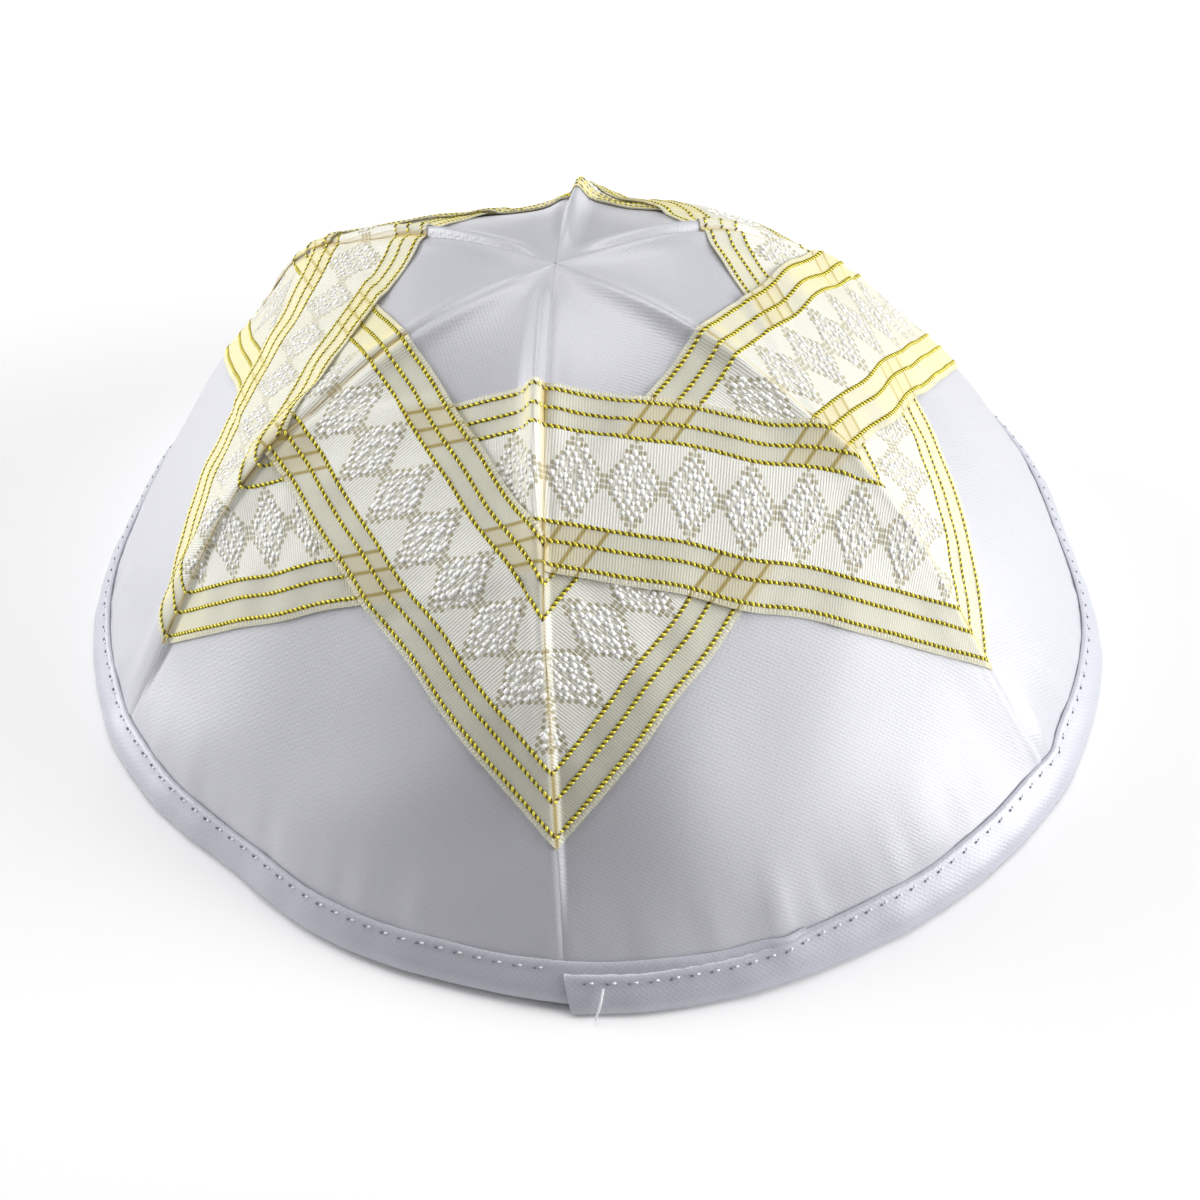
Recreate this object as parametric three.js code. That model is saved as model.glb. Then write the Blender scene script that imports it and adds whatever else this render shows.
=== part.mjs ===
// A kippah sewn from six satin panels, with brocade ribbon laid as an interlaced six-pointed star.
// Millimetres, +Z up. The open rim rests on z = 0 and the front seam faces -Y.
import * as THREE from 'three';

// Driving dimensions
const PANEL_COUNT = 6;
const CLOTH_WALL = 1.2;
const RIBBON_WALL = 1.0;
const BINDING_WALL = 1.0;
const GAP = 0.3;
const RIBBON_WIDTH = 29.3;
const RIBBON_CROSSES_SEAM = 40.6;
const STAR_TIP_ON_SEAM = 74.2;
const BINDING_HEIGHT = 6;
const BINDING_LAP = { start: 0.05, fade: 0.22, end: 0.4, sharp: 0.003, wall: 0.7 };
const PINHOLE_SHARE = 0.012;

// The worn crown slumps: its top shifts sideways and its right half stands a little higher.
const CROWN = { height: 70, shiftX: -8, shiftY: -1.5, tilt: 0.092 };

// Satin wall, one row for each 15 mm from the apex down to the rim, along a seam and down a panel's middle.
const WALL_ROWS = [
  { seamRadius: 0, seamHeight: 70, middleRadius: 0, middleHeight: 70 },
  { seamRadius: 15, seamHeight: 69, middleRadius: 14, middleHeight: 68.1 },
  { seamRadius: 29.5, seamHeight: 65, middleRadius: 27.1, middleHeight: 63.6 },
  { seamRadius: 42.8, seamHeight: 58.1, middleRadius: 39.9, middleHeight: 56.4 },
  { seamRadius: 55.4, seamHeight: 49.8, middleRadius: 51.5, middleHeight: 47.2 },
  { seamRadius: 65, seamHeight: 38.2, middleRadius: 62.5, middleHeight: 36.1 },
  { seamRadius: 73.2, seamHeight: 25.6, middleRadius: 73.1, middleHeight: 23.9 },
  { seamRadius: 81.5, seamHeight: 13, middleRadius: 81.9, middleHeight: 12.4 },
  { seamRadius: 90, seamHeight: 0, middleRadius: 89.6, middleHeight: 0 },
];

// Facets of each kind of piece
const PANEL_GRID = { down: 13, across: 8 };
const UNDER_GRID = { wide: 8, long: 10 };
const OVER_GRID = { wide: 8, long: 22 };

// The ribbon that passes over climbs the one below it on a short slope, a little outside its edge.
const CLIMB = { clear: 2.8, slope: 3.2 };

const PLACES = ['front_right', 'right', 'back_right', 'back_left', 'left', 'front_left'];
const COLOURS = { satin: 0xf1f1f6, ribbon: 0xe8e4d2 };
const HALF_ANGLE = Math.PI / PANEL_COUNT;

const seamLine = new THREE.SplineCurve(
  WALL_ROWS.map((row) => new THREE.Vector2(row.seamRadius, row.seamHeight)),
);
const middleLine = new THREE.SplineCurve(
  WALL_ROWS.map((row) => new THREE.Vector2(row.middleRadius, row.middleHeight)),
);

// A profile point (x = radius, y = height), moved out from the satin's outer face by `offset`.
function profilePoint(line, share, offset) {
  const point = line.getPoint(share);
  const tangent = line.getTangent(share);
  return point.add(new THREE.Vector2(-tangent.y, tangent.x).multiplyScalar(offset));
}

// A point of one panel in its own axes: +X runs out through its middle, `side` is -1 to 1 between seams.
function panelPoint(share, side, offset) {
  const seam = profilePoint(seamLine, share, offset);
  const middle = profilePoint(middleLine, share, offset);
  const bend = side * side;
  return new THREE.Vector3(
    THREE.MathUtils.lerp(middle.x, seam.x * Math.cos(HALF_ANGLE), bend),
    seam.x * Math.sin(HALF_ANGLE) * side,
    THREE.MathUtils.lerp(middle.y, seam.y, bend),
  );
}

// Turns a panel's point to its place around the cap and slumps it with the crown.
function settle(point, panel) {
  const turned = point.applyAxisAngle(
    new THREE.Vector3(0, 0, 1),
    (2 * panel + 1) * HALF_ANGLE - Math.PI / 2,
  );
  const rise = turned.z / CROWN.height;
  return new THREE.Vector3(
    turned.x + CROWN.shiftX * rise,
    turned.y + CROWN.shiftY * rise,
    turned.z + CROWN.tilt * turned.x * rise,
  );
}

// The largest `side` that stays half a gap away from the seam's plane.
function seamSide(share) {
  const seam = seamLine.getPoint(share).x;
  const middle = middleLine.getPoint(share).x;
  const leaving = Math.sin(HALF_ANGLE) * (2 * middle - seam * Math.cos(HALF_ANGLE));
  return 1 - GAP / 2 / leaving;
}

// The share of a profile at which it passes a height near the rim.
function shareAtHeight(line, height) {
  let above = 0.5;
  let below = 1;
  for (let step = 0; step < 30; step += 1) {
    const share = (above + below) / 2;
    if (line.getPoint(share).y > height) above = share;
    else below = share;
  }
  return above;
}

// The panel laid flat: x across it, y down it. Ribbons run straight on this pattern.
class FlatPattern {
  constructor(steps) {
    this.rows = [];
    let seamY = 0;
    let middleY = 0;
    for (let step = 0; step <= steps; step += 1) {
      const share = step / steps;
      const halfWidth = this.halfWidthAt(share);
      const last = this.rows[step - 1];
      if (last) {
        const seamStep = seamLine.getPoint(share).distanceTo(seamLine.getPoint(last.share));
        seamY += Math.sqrt(Math.max(seamStep ** 2 - (halfWidth - last.halfWidth) ** 2, 0));
        middleY += middleLine.getPoint(share).distanceTo(middleLine.getPoint(last.share));
      }
      this.rows.push({ share, halfWidth, seamY, middleY });
    }
  }

  halfWidthAt(share) {
    const steps = 8;
    let width = 0;
    for (let step = 0; step < steps; step += 1) {
      const near = panelPoint(share, step / steps, 0);
      width += near.distanceTo(panelPoint(share, (step + 1) / steps, 0));
    }
    return width;
  }

  rowAt(share) {
    const place = THREE.MathUtils.clamp(share, 0, 1) * (this.rows.length - 1);
    const index = Math.min(Math.floor(place), this.rows.length - 2);
    const [upper, lower] = [this.rows[index], this.rows[index + 1]];
    const mix = (column) => THREE.MathUtils.lerp(upper[column], lower[column], place - index);
    return { halfWidth: mix('halfWidth'), seamY: mix('seamY'), middleY: mix('middleY') };
  }

  // The flat place of a point of the panel.
  flatten(share, side) {
    const row = this.rowAt(share);
    const y = THREE.MathUtils.lerp(row.middleY, row.seamY, side * side);
    return new THREE.Vector2(row.halfWidth * side, y);
  }

  // The panel's share and side at a flat place, by halving the range of shares.
  fold(flat) {
    let upper = 0;
    let lower = 1;
    let side = 0;
    for (let step = 0; step < 30; step += 1) {
      const share = (upper + lower) / 2;
      side = flat.x / this.rowAt(share).halfWidth;
      if (this.flatten(share, side).y < flat.y) upper = share;
      else lower = share;
    }
    return { share: (upper + lower) / 2, side };
  }
}

const pattern = new FlatPattern(160);

// A straight ribbon on the pattern, between places on a panel's left and right seams (arcs from the apex).
class RibbonRun {
  constructor(leftArc, rightArc) {
    this.start = pattern.flatten(seamLine.getUtoTmapping(0, leftArc), -1);
    this.end = pattern.flatten(seamLine.getUtoTmapping(0, rightArc), 1);
    this.along = this.end.clone().sub(this.start).normalize();
    this.down = new THREE.Vector2(-this.along.y, this.along.x);
    this.length = this.start.distanceTo(this.end);
  }

  flatAt(along, down) {
    return this.start.clone().addScaledVector(this.along, along).addScaledVector(this.down, down);
  }

  // How far along a line of the ribbon meets the left (-1) or right (1) seam.
  seamCut(down, seam) {
    let inside = this.length / 2;
    let outside = inside + seam * this.length;
    for (let step = 0; step < 30; step += 1) {
      const along = (inside + outside) / 2;
      const { share, side } = pattern.fold(this.flatAt(along, down));
      if (Math.abs(side) < seamSide(share)) inside = along;
      else outside = along;
    }
    return inside;
  }

  // How far a flat place lies outside this ribbon's edge.
  outside(flat) {
    return Math.abs(flat.clone().sub(this.start).dot(this.down)) - RIBBON_WIDTH / 2;
  }
}

const underRun = new RibbonRun(STAR_TIP_ON_SEAM, RIBBON_CROSSES_SEAM);
const overRun = new RibbonRun(RIBBON_CROSSES_SEAM, STAR_TIP_ON_SEAM);

// A closed sheet with an outer (1) and inner (0) face over a grid of rows and columns.
function closedSheet(rows, columns, pointAt) {
  const positions = [];
  const indices = [];
  const corner = (row, column, face) => (row * (columns + 1) + column) * 2 + face;
  const place = (index) => new THREE.Vector3().fromArray(positions, index * 3);
  const quad = (a, b, c, d) => {
    const firstIsShorter = place(a).distanceTo(place(c)) <= place(b).distanceTo(place(d));
    if (firstIsShorter) indices.push(a, b, c, a, c, d);
    else indices.push(a, b, d, b, c, d);
  };
  for (let row = 0; row <= rows; row += 1) {
    for (let column = 0; column <= columns; column += 1) {
      positions.push(...pointAt(row, column, 0).toArray(), ...pointAt(row, column, 1).toArray());
    }
  }
  for (let row = 0; row < rows; row += 1) {
    for (let column = 0; column < columns; column += 1) {
      const [next, right] = [row + 1, column + 1];
      quad(corner(row, column, 1), corner(next, column, 1), corner(next, right, 1), corner(row, right, 1));
      quad(corner(row, right, 0), corner(next, right, 0), corner(next, column, 0), corner(row, column, 0));
    }
  }
  for (let row = 0; row < rows; row += 1) {
    const next = row + 1;
    quad(corner(row, 0, 0), corner(next, 0, 0), corner(next, 0, 1), corner(row, 0, 1));
    quad(corner(row, columns, 1), corner(next, columns, 1), corner(next, columns, 0), corner(row, columns, 0));
  }
  for (let column = 0; column < columns; column += 1) {
    const right = column + 1;
    quad(corner(0, right, 0), corner(0, column, 0), corner(0, column, 1), corner(0, right, 1));
    quad(corner(rows, column, 0), corner(rows, right, 0), corner(rows, right, 1), corner(rows, column, 1));
  }
  return bufferFrom(positions, indices);
}

function bufferFrom(positions, indices) {
  const geometry = new THREE.BufferGeometry();
  geometry.setAttribute('position', new THREE.Float32BufferAttribute(positions, 3));
  geometry.setIndex(indices);
  geometry.computeVertexNormals();
  return geometry;
}

// One satin panel, from the apex down to a hem inside the binding's fold.
function panelGeometry(panel) {
  const hem = shareAtHeight(seamLine, BINDING_WALL + CLOTH_WALL + GAP);
  const { down, across } = PANEL_GRID;
  return closedSheet(down, across, (row, column, face) => {
    const share = THREE.MathUtils.lerp(PINHOLE_SHARE, hem, row / down);
    const side = (2 * column / across - 1) * seamSide(share);
    return settle(panelPoint(share, side, (face - 1) * CLOTH_WALL), panel);
  });
}

// One ribbon; `rise` gives its lower face's height above the satin at a flat place.
function ribbonGeometry(panel, run, grid, rise) {
  const lines = Array.from({ length: grid.wide + 1 }, (_, index) => {
    const down = (index / grid.wide - 0.5) * RIBBON_WIDTH;
    return { down, from: run.seamCut(down, -1), to: run.seamCut(down, 1) };
  });
  return closedSheet(grid.wide, grid.long, (row, column, face) => {
    const line = lines[row];
    const flat = run.flatAt(THREE.MathUtils.lerp(line.from, line.to, column / grid.long), line.down);
    const { share, side } = pattern.fold(flat);
    return settle(panelPoint(share, side, rise(flat) + face * RIBBON_WALL), panel);
  });
}

// The upper ribbon lies on the satin and climbs over the lower ribbon where they cross.
function climb(flat) {
  const outside = underRun.outside(flat) - CLIMB.clear;
  const lifted = 1 - THREE.MathUtils.smoothstep(outside, 0, CLIMB.slope);
  return GAP + lifted * (RIBBON_WALL + GAP);
}

// The binding: a strip folded over the hem, swept once around the rim, with its end lapped in front.
function bindingGeometry() {
  const outer = GAP + BINDING_WALL;
  const inner = -(CLOTH_WALL + GAP + BINDING_WALL);
  const section = [
    { height: 0, offset: inner },
    { height: 0, offset: outer, lap: 1 },
    { height: BINDING_HEIGHT, offset: outer, lap: 1 },
    { height: BINDING_HEIGHT, offset: GAP },
    { height: BINDING_WALL, offset: GAP },
    { height: BINDING_WALL, offset: -(CLOTH_WALL + GAP) },
    { height: BINDING_HEIGHT, offset: -(CLOTH_WALL + GAP) },
    { height: BINDING_HEIGHT, offset: inner },
  ];
  const stops = bindingStops();
  const positions = [];
  const indices = [];
  stops.forEach((stop, index) => {
    const after = (index + 1) % stops.length;
    section.forEach((corner, place) => {
      const out = corner.offset + (corner.lap ?? 0) * stop.lap;
      positions.push(...bindingPoint(stop, corner.height, out).toArray());
      const next = (place + 1) % section.length;
      const [a, b] = [index * section.length + place, index * section.length + next];
      const [c, d] = [after * section.length + next, after * section.length + place];
      indices.push(a, d, c, a, c, b);
    });
  });
  return bufferFrom(positions, indices);
}

// Places around the rim, in panels from the front seam, with the lap's sharp start and faded end.
function bindingStops() {
  const stops = [];
  for (let index = 0; index < PANEL_COUNT * PANEL_GRID.across; index += 1) {
    stops.push(index / PANEL_GRID.across);
  }
  stops.push(BINDING_LAP.start, BINDING_LAP.start + BINDING_LAP.sharp);
  return stops.sort((a, b) => a - b).map((around) => {
    const faded = THREE.MathUtils.smoothstep(around, BINDING_LAP.fade, BINDING_LAP.end);
    return { around, lap: around > BINDING_LAP.start ? BINDING_LAP.wall * (1 - faded) : 0 };
  });
}

// A point at a height beside the satin, `offset` out from its outer face.
function bindingPoint(stop, height, offset) {
  const panel = Math.floor(stop.around);
  const side = 2 * (stop.around - panel) - 1;
  const point = panelPoint(shareAtHeight(seamLine, height), side, 0);
  const tangent = seamLine.getTangent(shareAtHeight(seamLine, height));
  const radial = new THREE.Vector2(point.x, point.y).normalize().multiplyScalar(offset / -tangent.y);
  point.x += radial.x;
  point.y += radial.y;
  point.z = height;
  return settle(point, panel);
}

const materials = {
  satin: () => new THREE.MeshStandardMaterial({ color: COLOURS.satin, roughness: 0.45, metalness: 0 }),
  ribbon: () => new THREE.MeshStandardMaterial({ color: COLOURS.ribbon, roughness: 0.55, metalness: 0 }),
};

function piece(name, geometry, material) {
  const mesh = new THREE.Mesh(geometry, material);
  mesh.name = name;
  return mesh;
}

const kippah = new THREE.Group();
const shell = new THREE.Group();
const star = new THREE.Group();
kippah.add(shell, star);
PLACES.forEach((place, panel) => {
  shell.add(piece(`panel_${place}`, panelGeometry(panel), materials.satin()));
  const under = ribbonGeometry(panel, underRun, UNDER_GRID, () => GAP);
  star.add(piece(`ribbon_under_${place}`, under, materials.ribbon()));
  const over = ribbonGeometry(panel, overRun, OVER_GRID, climb);
  star.add(piece(`ribbon_over_${place}`, over, materials.ribbon()));
});
shell.add(piece('rim_binding', bindingGeometry(), materials.satin()));

export default kippah;
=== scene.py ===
"""A white satin kippah with an interlaced six-pointed star of gold-striped brocade ribbon.

Tables and cloth sizes are in millimetres. Meshes are in metres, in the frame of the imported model.
A share runs from 0 at the apex to 1 at the rim, and a side from -1 to 1 between a panel's seams.
One unit of the UV map "cloth" is CLOTH_UNIT millimetres of flat cloth.
"""

import logging
import math
from dataclasses import dataclass, field, replace
from enum import Enum

import bpy
import numpy as np
from mathutils import Matrix, Vector


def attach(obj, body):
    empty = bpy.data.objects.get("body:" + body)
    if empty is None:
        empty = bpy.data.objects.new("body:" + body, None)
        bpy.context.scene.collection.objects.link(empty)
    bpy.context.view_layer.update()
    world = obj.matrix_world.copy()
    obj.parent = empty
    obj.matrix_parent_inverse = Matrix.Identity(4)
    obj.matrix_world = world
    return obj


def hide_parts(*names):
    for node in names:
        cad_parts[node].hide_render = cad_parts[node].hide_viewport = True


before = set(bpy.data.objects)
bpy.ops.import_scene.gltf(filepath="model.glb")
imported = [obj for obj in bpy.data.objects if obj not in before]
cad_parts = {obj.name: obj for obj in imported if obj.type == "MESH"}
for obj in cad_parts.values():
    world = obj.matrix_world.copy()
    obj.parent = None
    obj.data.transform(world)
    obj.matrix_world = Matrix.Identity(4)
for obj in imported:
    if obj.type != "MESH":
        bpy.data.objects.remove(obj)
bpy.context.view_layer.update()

log = logging.getLogger("kippah")

Colour = tuple[float, float, float, float]

MM = 0.001
CLOTH_UNIT = 100.0
RIM_RADIUS = 90.0
PANEL_COUNT = 6
HALF_ANGLE = math.pi / PANEL_COUNT
PLACES = ("front_right", "right", "back_right", "back_left", "left", "front_left")
BISECTIONS = 26
SHARP_FOLD = math.radians(52)
SEAM_GAP = 0.015
SEAM_ZONE = 4.2
SHORTEST_FULL_RUN = 12.0
APEX_SHARE = 0.0012
TANGENT_STEP = 0.004
# Where the middle of a ribbon meets the seams, along a seam from the apex: at a tip of the star, and
# halfway along one of its edges.
TIP_ARC = 74.2
HALFWAY_ARC = 40.6
# Seeds of the fixed random waves and scatters.
GATHER_SEED = 40
DIMPLE_ACROSS_SEED = 50
DIMPLE_DOWN_SEED = 60
BELLY_SEED = 71
EDGE_SEED = 72
FLOAT_SCATTER_SEED = 90
PUCKER_SEED = 100
SWAY_SEED = 300


class Layer(Enum):
    """Which ribbon of a panel passes below the other at their crossing."""

    UNDER = "under"
    OVER = "over"


class Ply(Enum):
    """The two plies of a twisted gold thread: a lit ply in gold's own colour, and a dark ply of painted shade
    and dark reflection.
    """

    BRIGHT = "bright"
    DARK = "dark"


def smoothstep(low: float, high: float, value: np.ndarray) -> np.ndarray:
    """Rise smoothly from 0 to 1.

    Args:
        low: Where the rise starts.
        high: Where it ends.
        value: The numbers to map.

    Returns:
        Numbers from 0 to 1.
    """
    share = np.clip((value - low) / (high - low), 0.0, 1.0)
    return share * share * (3.0 - 2.0 * share)


def plateau(value: np.ndarray, span: tuple[float, ...]) -> np.ndarray:
    """Rise smoothly between the first two numbers of a span, and fall between the last two."""
    return smoothstep(span[0], span[1], value) * (1 - smoothstep(span[2], span[3], value))


def hill(value: np.ndarray | float, middle: float, width: float) -> np.ndarray:
    """Return a rounded hill of height 1 around a middle value."""
    return np.exp(-((value - middle) / width) ** 2)


def unit(vectors: np.ndarray) -> np.ndarray:
    """Return vectors of length 1 with the same directions."""
    return vectors / np.linalg.norm(vectors, axis=-1, keepdims=True)


def ripple(value: np.ndarray, wavelengths: tuple[float, ...], seed: int) -> np.ndarray:
    """Add a few sine waves with fixed random phases.

    Args:
        value: Positions along the ripple.
        wavelengths: One wavelength for each wave.
        seed: Seed of the phases.

    Returns:
        Heights of about -1 to 1.
    """
    phases = np.random.RandomState(seed).uniform(0.0, math.tau, len(wavelengths))
    waves = [np.sin(math.tau * value / wave + phase) for wave, phase in zip(wavelengths, phases)]
    return sum(waves) / len(waves)


class ProfileLine:
    """A smooth line through (radius, height) stations, read by its share from apex to rim."""

    def __init__(self, stations: list[tuple[float, float]]) -> None:
        """Fit a natural cubic through the stations.

        Args:
            stations: Radius and height of each station, in millimetres.
        """
        points = np.array(stations, float)
        count = len(points)
        system = np.eye(count)
        right = np.zeros_like(points)
        for index in range(1, count - 1):
            system[index, index - 1:index + 2] = (1.0, 4.0, 1.0)
            right[index] = 6.0 * (points[index - 1] - 2.0 * points[index] + points[index + 1])
        self.points = points
        self.bends = np.linalg.solve(system, right)
        shares = np.linspace(0.0, 1.0, 400)
        steps = np.linalg.norm(np.diff(self.at(shares), axis=0), axis=1)
        self.shares = shares
        self.arcs = np.concatenate([[0.0], np.cumsum(steps)])

    def _cell(self, share: np.ndarray) -> tuple[np.ndarray, np.ndarray]:
        """Return the station before each share, and how far past it the share lies."""
        place = np.clip(share, 0.0, 1.0) * (len(self.points) - 1)
        index = np.minimum(place.astype(int), len(self.points) - 2)
        return index, (place - index)[..., None]

    def at(self, share: np.ndarray) -> np.ndarray:
        """Return (radius, height) at each share."""
        index, t = self._cell(np.asarray(share, float))
        s = 1.0 - t
        start, end = self.points[index], self.points[index + 1]
        return (s * start + t * end
                + (s ** 3 - s) * self.bends[index] / 6.0
                + (t ** 3 - t) * self.bends[index + 1] / 6.0)

    def outward(self, share: np.ndarray) -> np.ndarray:
        """Return the outward normal, as (radius, height), at each share."""
        share = np.asarray(share, float)
        tangent = (self.at(np.minimum(share + TANGENT_STEP, 1.0))
                   - self.at(np.maximum(share - TANGENT_STEP, 0.0)))
        return unit(np.stack([-tangent[..., 1], tangent[..., 0]], -1))

    def share_at_arc(self, arc: float) -> float:
        """Return the share at a length along the line from the apex."""
        return float(np.interp(arc, self.arcs, self.shares))

    def share_at_height(self, height: np.ndarray) -> np.ndarray:
        """Return the share at which the line passes each height."""
        heights = self.at(self.shares)[:, 1]
        return np.interp(-np.asarray(height, float), -heights, self.shares)


@dataclass(frozen=True)
class Dent:
    """A soft push or dent that handling left in the cap: millimetres, and degrees around it."""

    azimuth: float
    height: float
    around: float
    tall: float
    push: float

    def push_at(self, azimuth: np.ndarray, height: np.ndarray) -> np.ndarray:
        """Return how far points are pushed out, in millimetres."""
        apart = (azimuth - self.azimuth + 180.0) % 360.0 - 180.0
        return self.push * np.exp(-(apart / self.around) ** 2 - ((height - self.height) / self.tall) ** 2)


HANDLING = (
    Dent(-88, 0, 12, 12, 0.9),
    Dent(-128, 0, 10, 12, -2.2),
    Dent(174, 2, 14, 10, -2.0),
    Dent(158, 26, 12, 12, 2.6),
    Dent(150, 50, 12, 12, 2.2),
    Dent(112, 56, 16, 12, -3.8),
    Dent(88, 54, 12, 12, -2.6),
    Dent(34, 48, 16, 16, -3.0),
    Dent(8, 2, 12, 12, -2.6),
    Dent(-79, 22, 8, 14, 1.5),
    Dent(-49, 23, 13, 13, -1.5),
    Dent(-126, 25, 9, 13, -0.9),
    Dent(-68.5, 9, 1.6, 5, 0.9),
    Dent(-28.5, 10, 2.0, 6, 0.9),
)


@dataclass
class Wall:
    """The satin wall: six panels between seam ridges, slumped a little at the crown.

    A tuple of six numbers gives one for each panel, in the order of PLACES. A span gives the shares
    between which a form rises and then falls. An inset is counted from the seam.
    """

    seam_stations: tuple[tuple[float, float], ...] = (
        (0, 70), (15, 69), (29.5, 65), (42.8, 58.1), (55.4, 49.8),
        (65, 38.2), (73.2, 25.6), (81.5, 13), (90, 0))
    middle_stations: tuple[tuple[float, float], ...] = (
        (0, 70), (14, 68.1), (27.1, 63.6), (39.9, 56.4), (51.5, 47.2),
        (62.5, 36.1), (73.1, 23.9), (81.9, 12.4), (89.6, 0))
    crown_height: float = 70.0
    crown_shift: tuple[float, float] = (-8.0, -1.5)
    crown_tilt: float = 0.092
    rolls: tuple[float, ...] = (0.34, 0.36, 0.36, 0.36, 0.12, 0.3)
    roll_at_apex: float = 1.6
    roll_lost_below: float = 0.9
    roll_width: float = 0.95
    roll_inset: float = 0.95
    seam_depth: float = 0.12
    seam_cut_width: float = 0.38
    valley_width: float = 0.6
    hollows: tuple[float, ...] = (0.9, 0.5, 0.5, 0.5, 0.5, 0.8)
    hollow_width: float = 14.0
    hollow_span: tuple[float, ...] = (0.2, 0.5, 0.8, 0.93)
    puffs: tuple[float, ...] = (0.35, 0.5, 0.5, 0.4, 1.35, 0.3)
    right_ridges: tuple[float, ...] = (0.6, 0.4, 1.7, 1.4, 0.5, 2.2)
    left_ridges: tuple[float, ...] = (0.3, 0.2, 1.7, 0.3, 0.3, 0.6)
    ridge_inset: float = 1.7
    ridge_width: float = 1.4
    ridge_cut_width: float = 0.8
    ridge_span: tuple[float, ...] = (0.02, 0.09, 0.25, 0.5)
    puff_inset: float = 3.0
    puff_width: float = 2.5
    puff_span: tuple[float, ...] = (0.2, 0.4, 0.8, 0.98)
    narrow: tuple[float, float] = (2.0, 16.0)
    hem_start: tuple[float, float] = (0.8, 0.97)
    tuck_start: tuple[float, float] = (0.915, 0.96)
    tucked_relief: float = 0.35
    gather_height: float = 0.3
    gather_waves: tuple[float, ...] = (5.3, 8.1, 12.7)
    dimple_height: float = 0.4
    dimple_waves_across: tuple[float, ...] = (31.0, 47.0)
    dimple_waves_down: tuple[float, ...] = (43.0, 71.0)
    seam: ProfileLine = field(init=False)
    middle: ProfileLine = field(init=False)

    def __post_init__(self) -> None:
        """Fit both profile lines."""
        self.seam = ProfileLine(list(self.seam_stations))
        self.middle = ProfileLine(list(self.middle_stations))

    def half_width(self, share: np.ndarray) -> np.ndarray:
        """Return half the cloth's width across a panel at each share."""
        sides = np.linspace(0.0, 1.0, 9)
        shares = np.repeat(np.asarray(share, float)[..., None], len(sides), -1)
        points = self.bare(shares, np.broadcast_to(sides, shares.shape), 0.0)
        return np.linalg.norm(np.diff(points, axis=-2), axis=-1).sum(-1)

    def bare(self, share: np.ndarray, side: np.ndarray, offset: np.ndarray | float) -> np.ndarray:
        """Find points of a panel in its own axes, +X out through its middle.

        Args:
            share: How far down the panel, from 0 at the apex to 1 at the rim.
            side: How far across, from -1 at its left seam to 1 at its right seam.
            offset: Millimetres out from the satin's outer face.

        Returns:
            An array of points in millimetres.
        """
        lift = np.asarray(offset, float)[..., None] if np.ndim(offset) else offset
        seam = self.seam.at(share) + self.seam.outward(share) * lift
        middle = self.middle.at(share) + self.middle.outward(share) * lift
        bend = side * side
        radial = middle[..., 0] + (seam[..., 0] * math.cos(HALF_ANGLE) - middle[..., 0]) * bend
        across = seam[..., 0] * math.sin(HALF_ANGLE) * side
        height = middle[..., 1] + (seam[..., 1] - middle[..., 1]) * bend
        return np.stack([radial, across, height], -1)

    def settle(self, points: np.ndarray, panel: float) -> np.ndarray:
        """Turn a panel's points to their place and slump them with the crown.

        Args:
            points: Points in the panel's own axes, in millimetres.
            panel: The panel's number, counted from the front seam.

        Returns:
            Points in the object's frame, in millimetres.
        """
        turn = (2 * panel + 1) * HALF_ANGLE - math.pi / 2
        x = points[..., 0] * math.cos(turn) - points[..., 1] * math.sin(turn)
        y = points[..., 0] * math.sin(turn) + points[..., 1] * math.cos(turn)
        z = points[..., 2]
        rise = z / self.crown_height
        slumped = np.stack([x + self.crown_shift[0] * rise,
                            y + self.crown_shift[1] * rise,
                            z + self.crown_tilt * x * rise], -1)
        return self.dented(slumped)

    @staticmethod
    def dented(points: np.ndarray) -> np.ndarray:
        """Push points in and out where handling has dented the cap.

        Args:
            points: Points in the object's frame, in millimetres.

        Returns:
            The moved points.
        """
        azimuth = np.degrees(np.arctan2(points[..., 1], points[..., 0]))
        push = sum(dent.push_at(azimuth, points[..., 2]) for dent in HANDLING)
        push = push * smoothstep(8.0, 32.0, np.hypot(points[..., 0], points[..., 1]))
        outward = unit(points * (1.0, 1.0, 1.2))
        outward[..., 2] *= np.clip(points[..., 2] / 10.0, 0.0, 1.0)
        return points + outward * push[..., None]

    def relief(self, panel: int, share: np.ndarray, side: np.ndarray) -> np.ndarray:
        """Return the cloth's own rise and fall: seam rolls, gathers and soft dimples.

        Args:
            panel: The panel's number.
            share: How far down the panel.
            side: How far across the panel.

        Returns:
            Millimetres out from the even wall.
        """
        width = PATTERN.width_at(share)
        near_left = (1.0 + side) * width
        near_right = (1.0 - side) * width
        fade = 0.5 + 0.5 * smoothstep(*self.narrow, width)
        fade = fade * np.clip(width / 4.0, 0.0, 1.0)
        height = self.roll_at_apex - self.roll_lost_below * smoothstep(0.1, 0.9, share)
        height = self.rolls[panel] * height
        roll = height * hill(near_right, self.roll_inset, self.roll_width)
        fall = self.seam_depth + height * hill(0.0, self.roll_inset, self.roll_width)
        roll -= fall * hill(near_right, 0.0, self.seam_cut_width)
        valley = self.seam_depth * hill(near_left, 0.0, self.valley_width)
        hollow = smoothstep(0.0, 0.9, near_left) * hill(near_left, 0.0, self.hollow_width)
        valley = valley + self.hollows[panel] * hollow * plateau(share, self.hollow_span)
        puff = hill(near_right, self.puff_inset, self.puff_width)
        puff = puff - hill(0.0, self.puff_inset, self.puff_width)
        roll = roll + self.puffs[panel] * plateau(share, self.puff_span) * puff
        crown = plateau(share, self.ridge_span)
        at_seam = hill(0.0, self.ridge_inset, self.ridge_width)
        for ridges, near in ((self.right_ridges, near_right), (self.left_ridges, near_left)):
            ridge = hill(near, self.ridge_inset, self.ridge_width)
            cut = at_seam * hill(near, 0.0, self.ridge_cut_width)
            roll = roll + ridges[panel] * crown * (ridge - cut)
        arc = share * self.seam.arcs[-1]
        across = side * width
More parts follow.
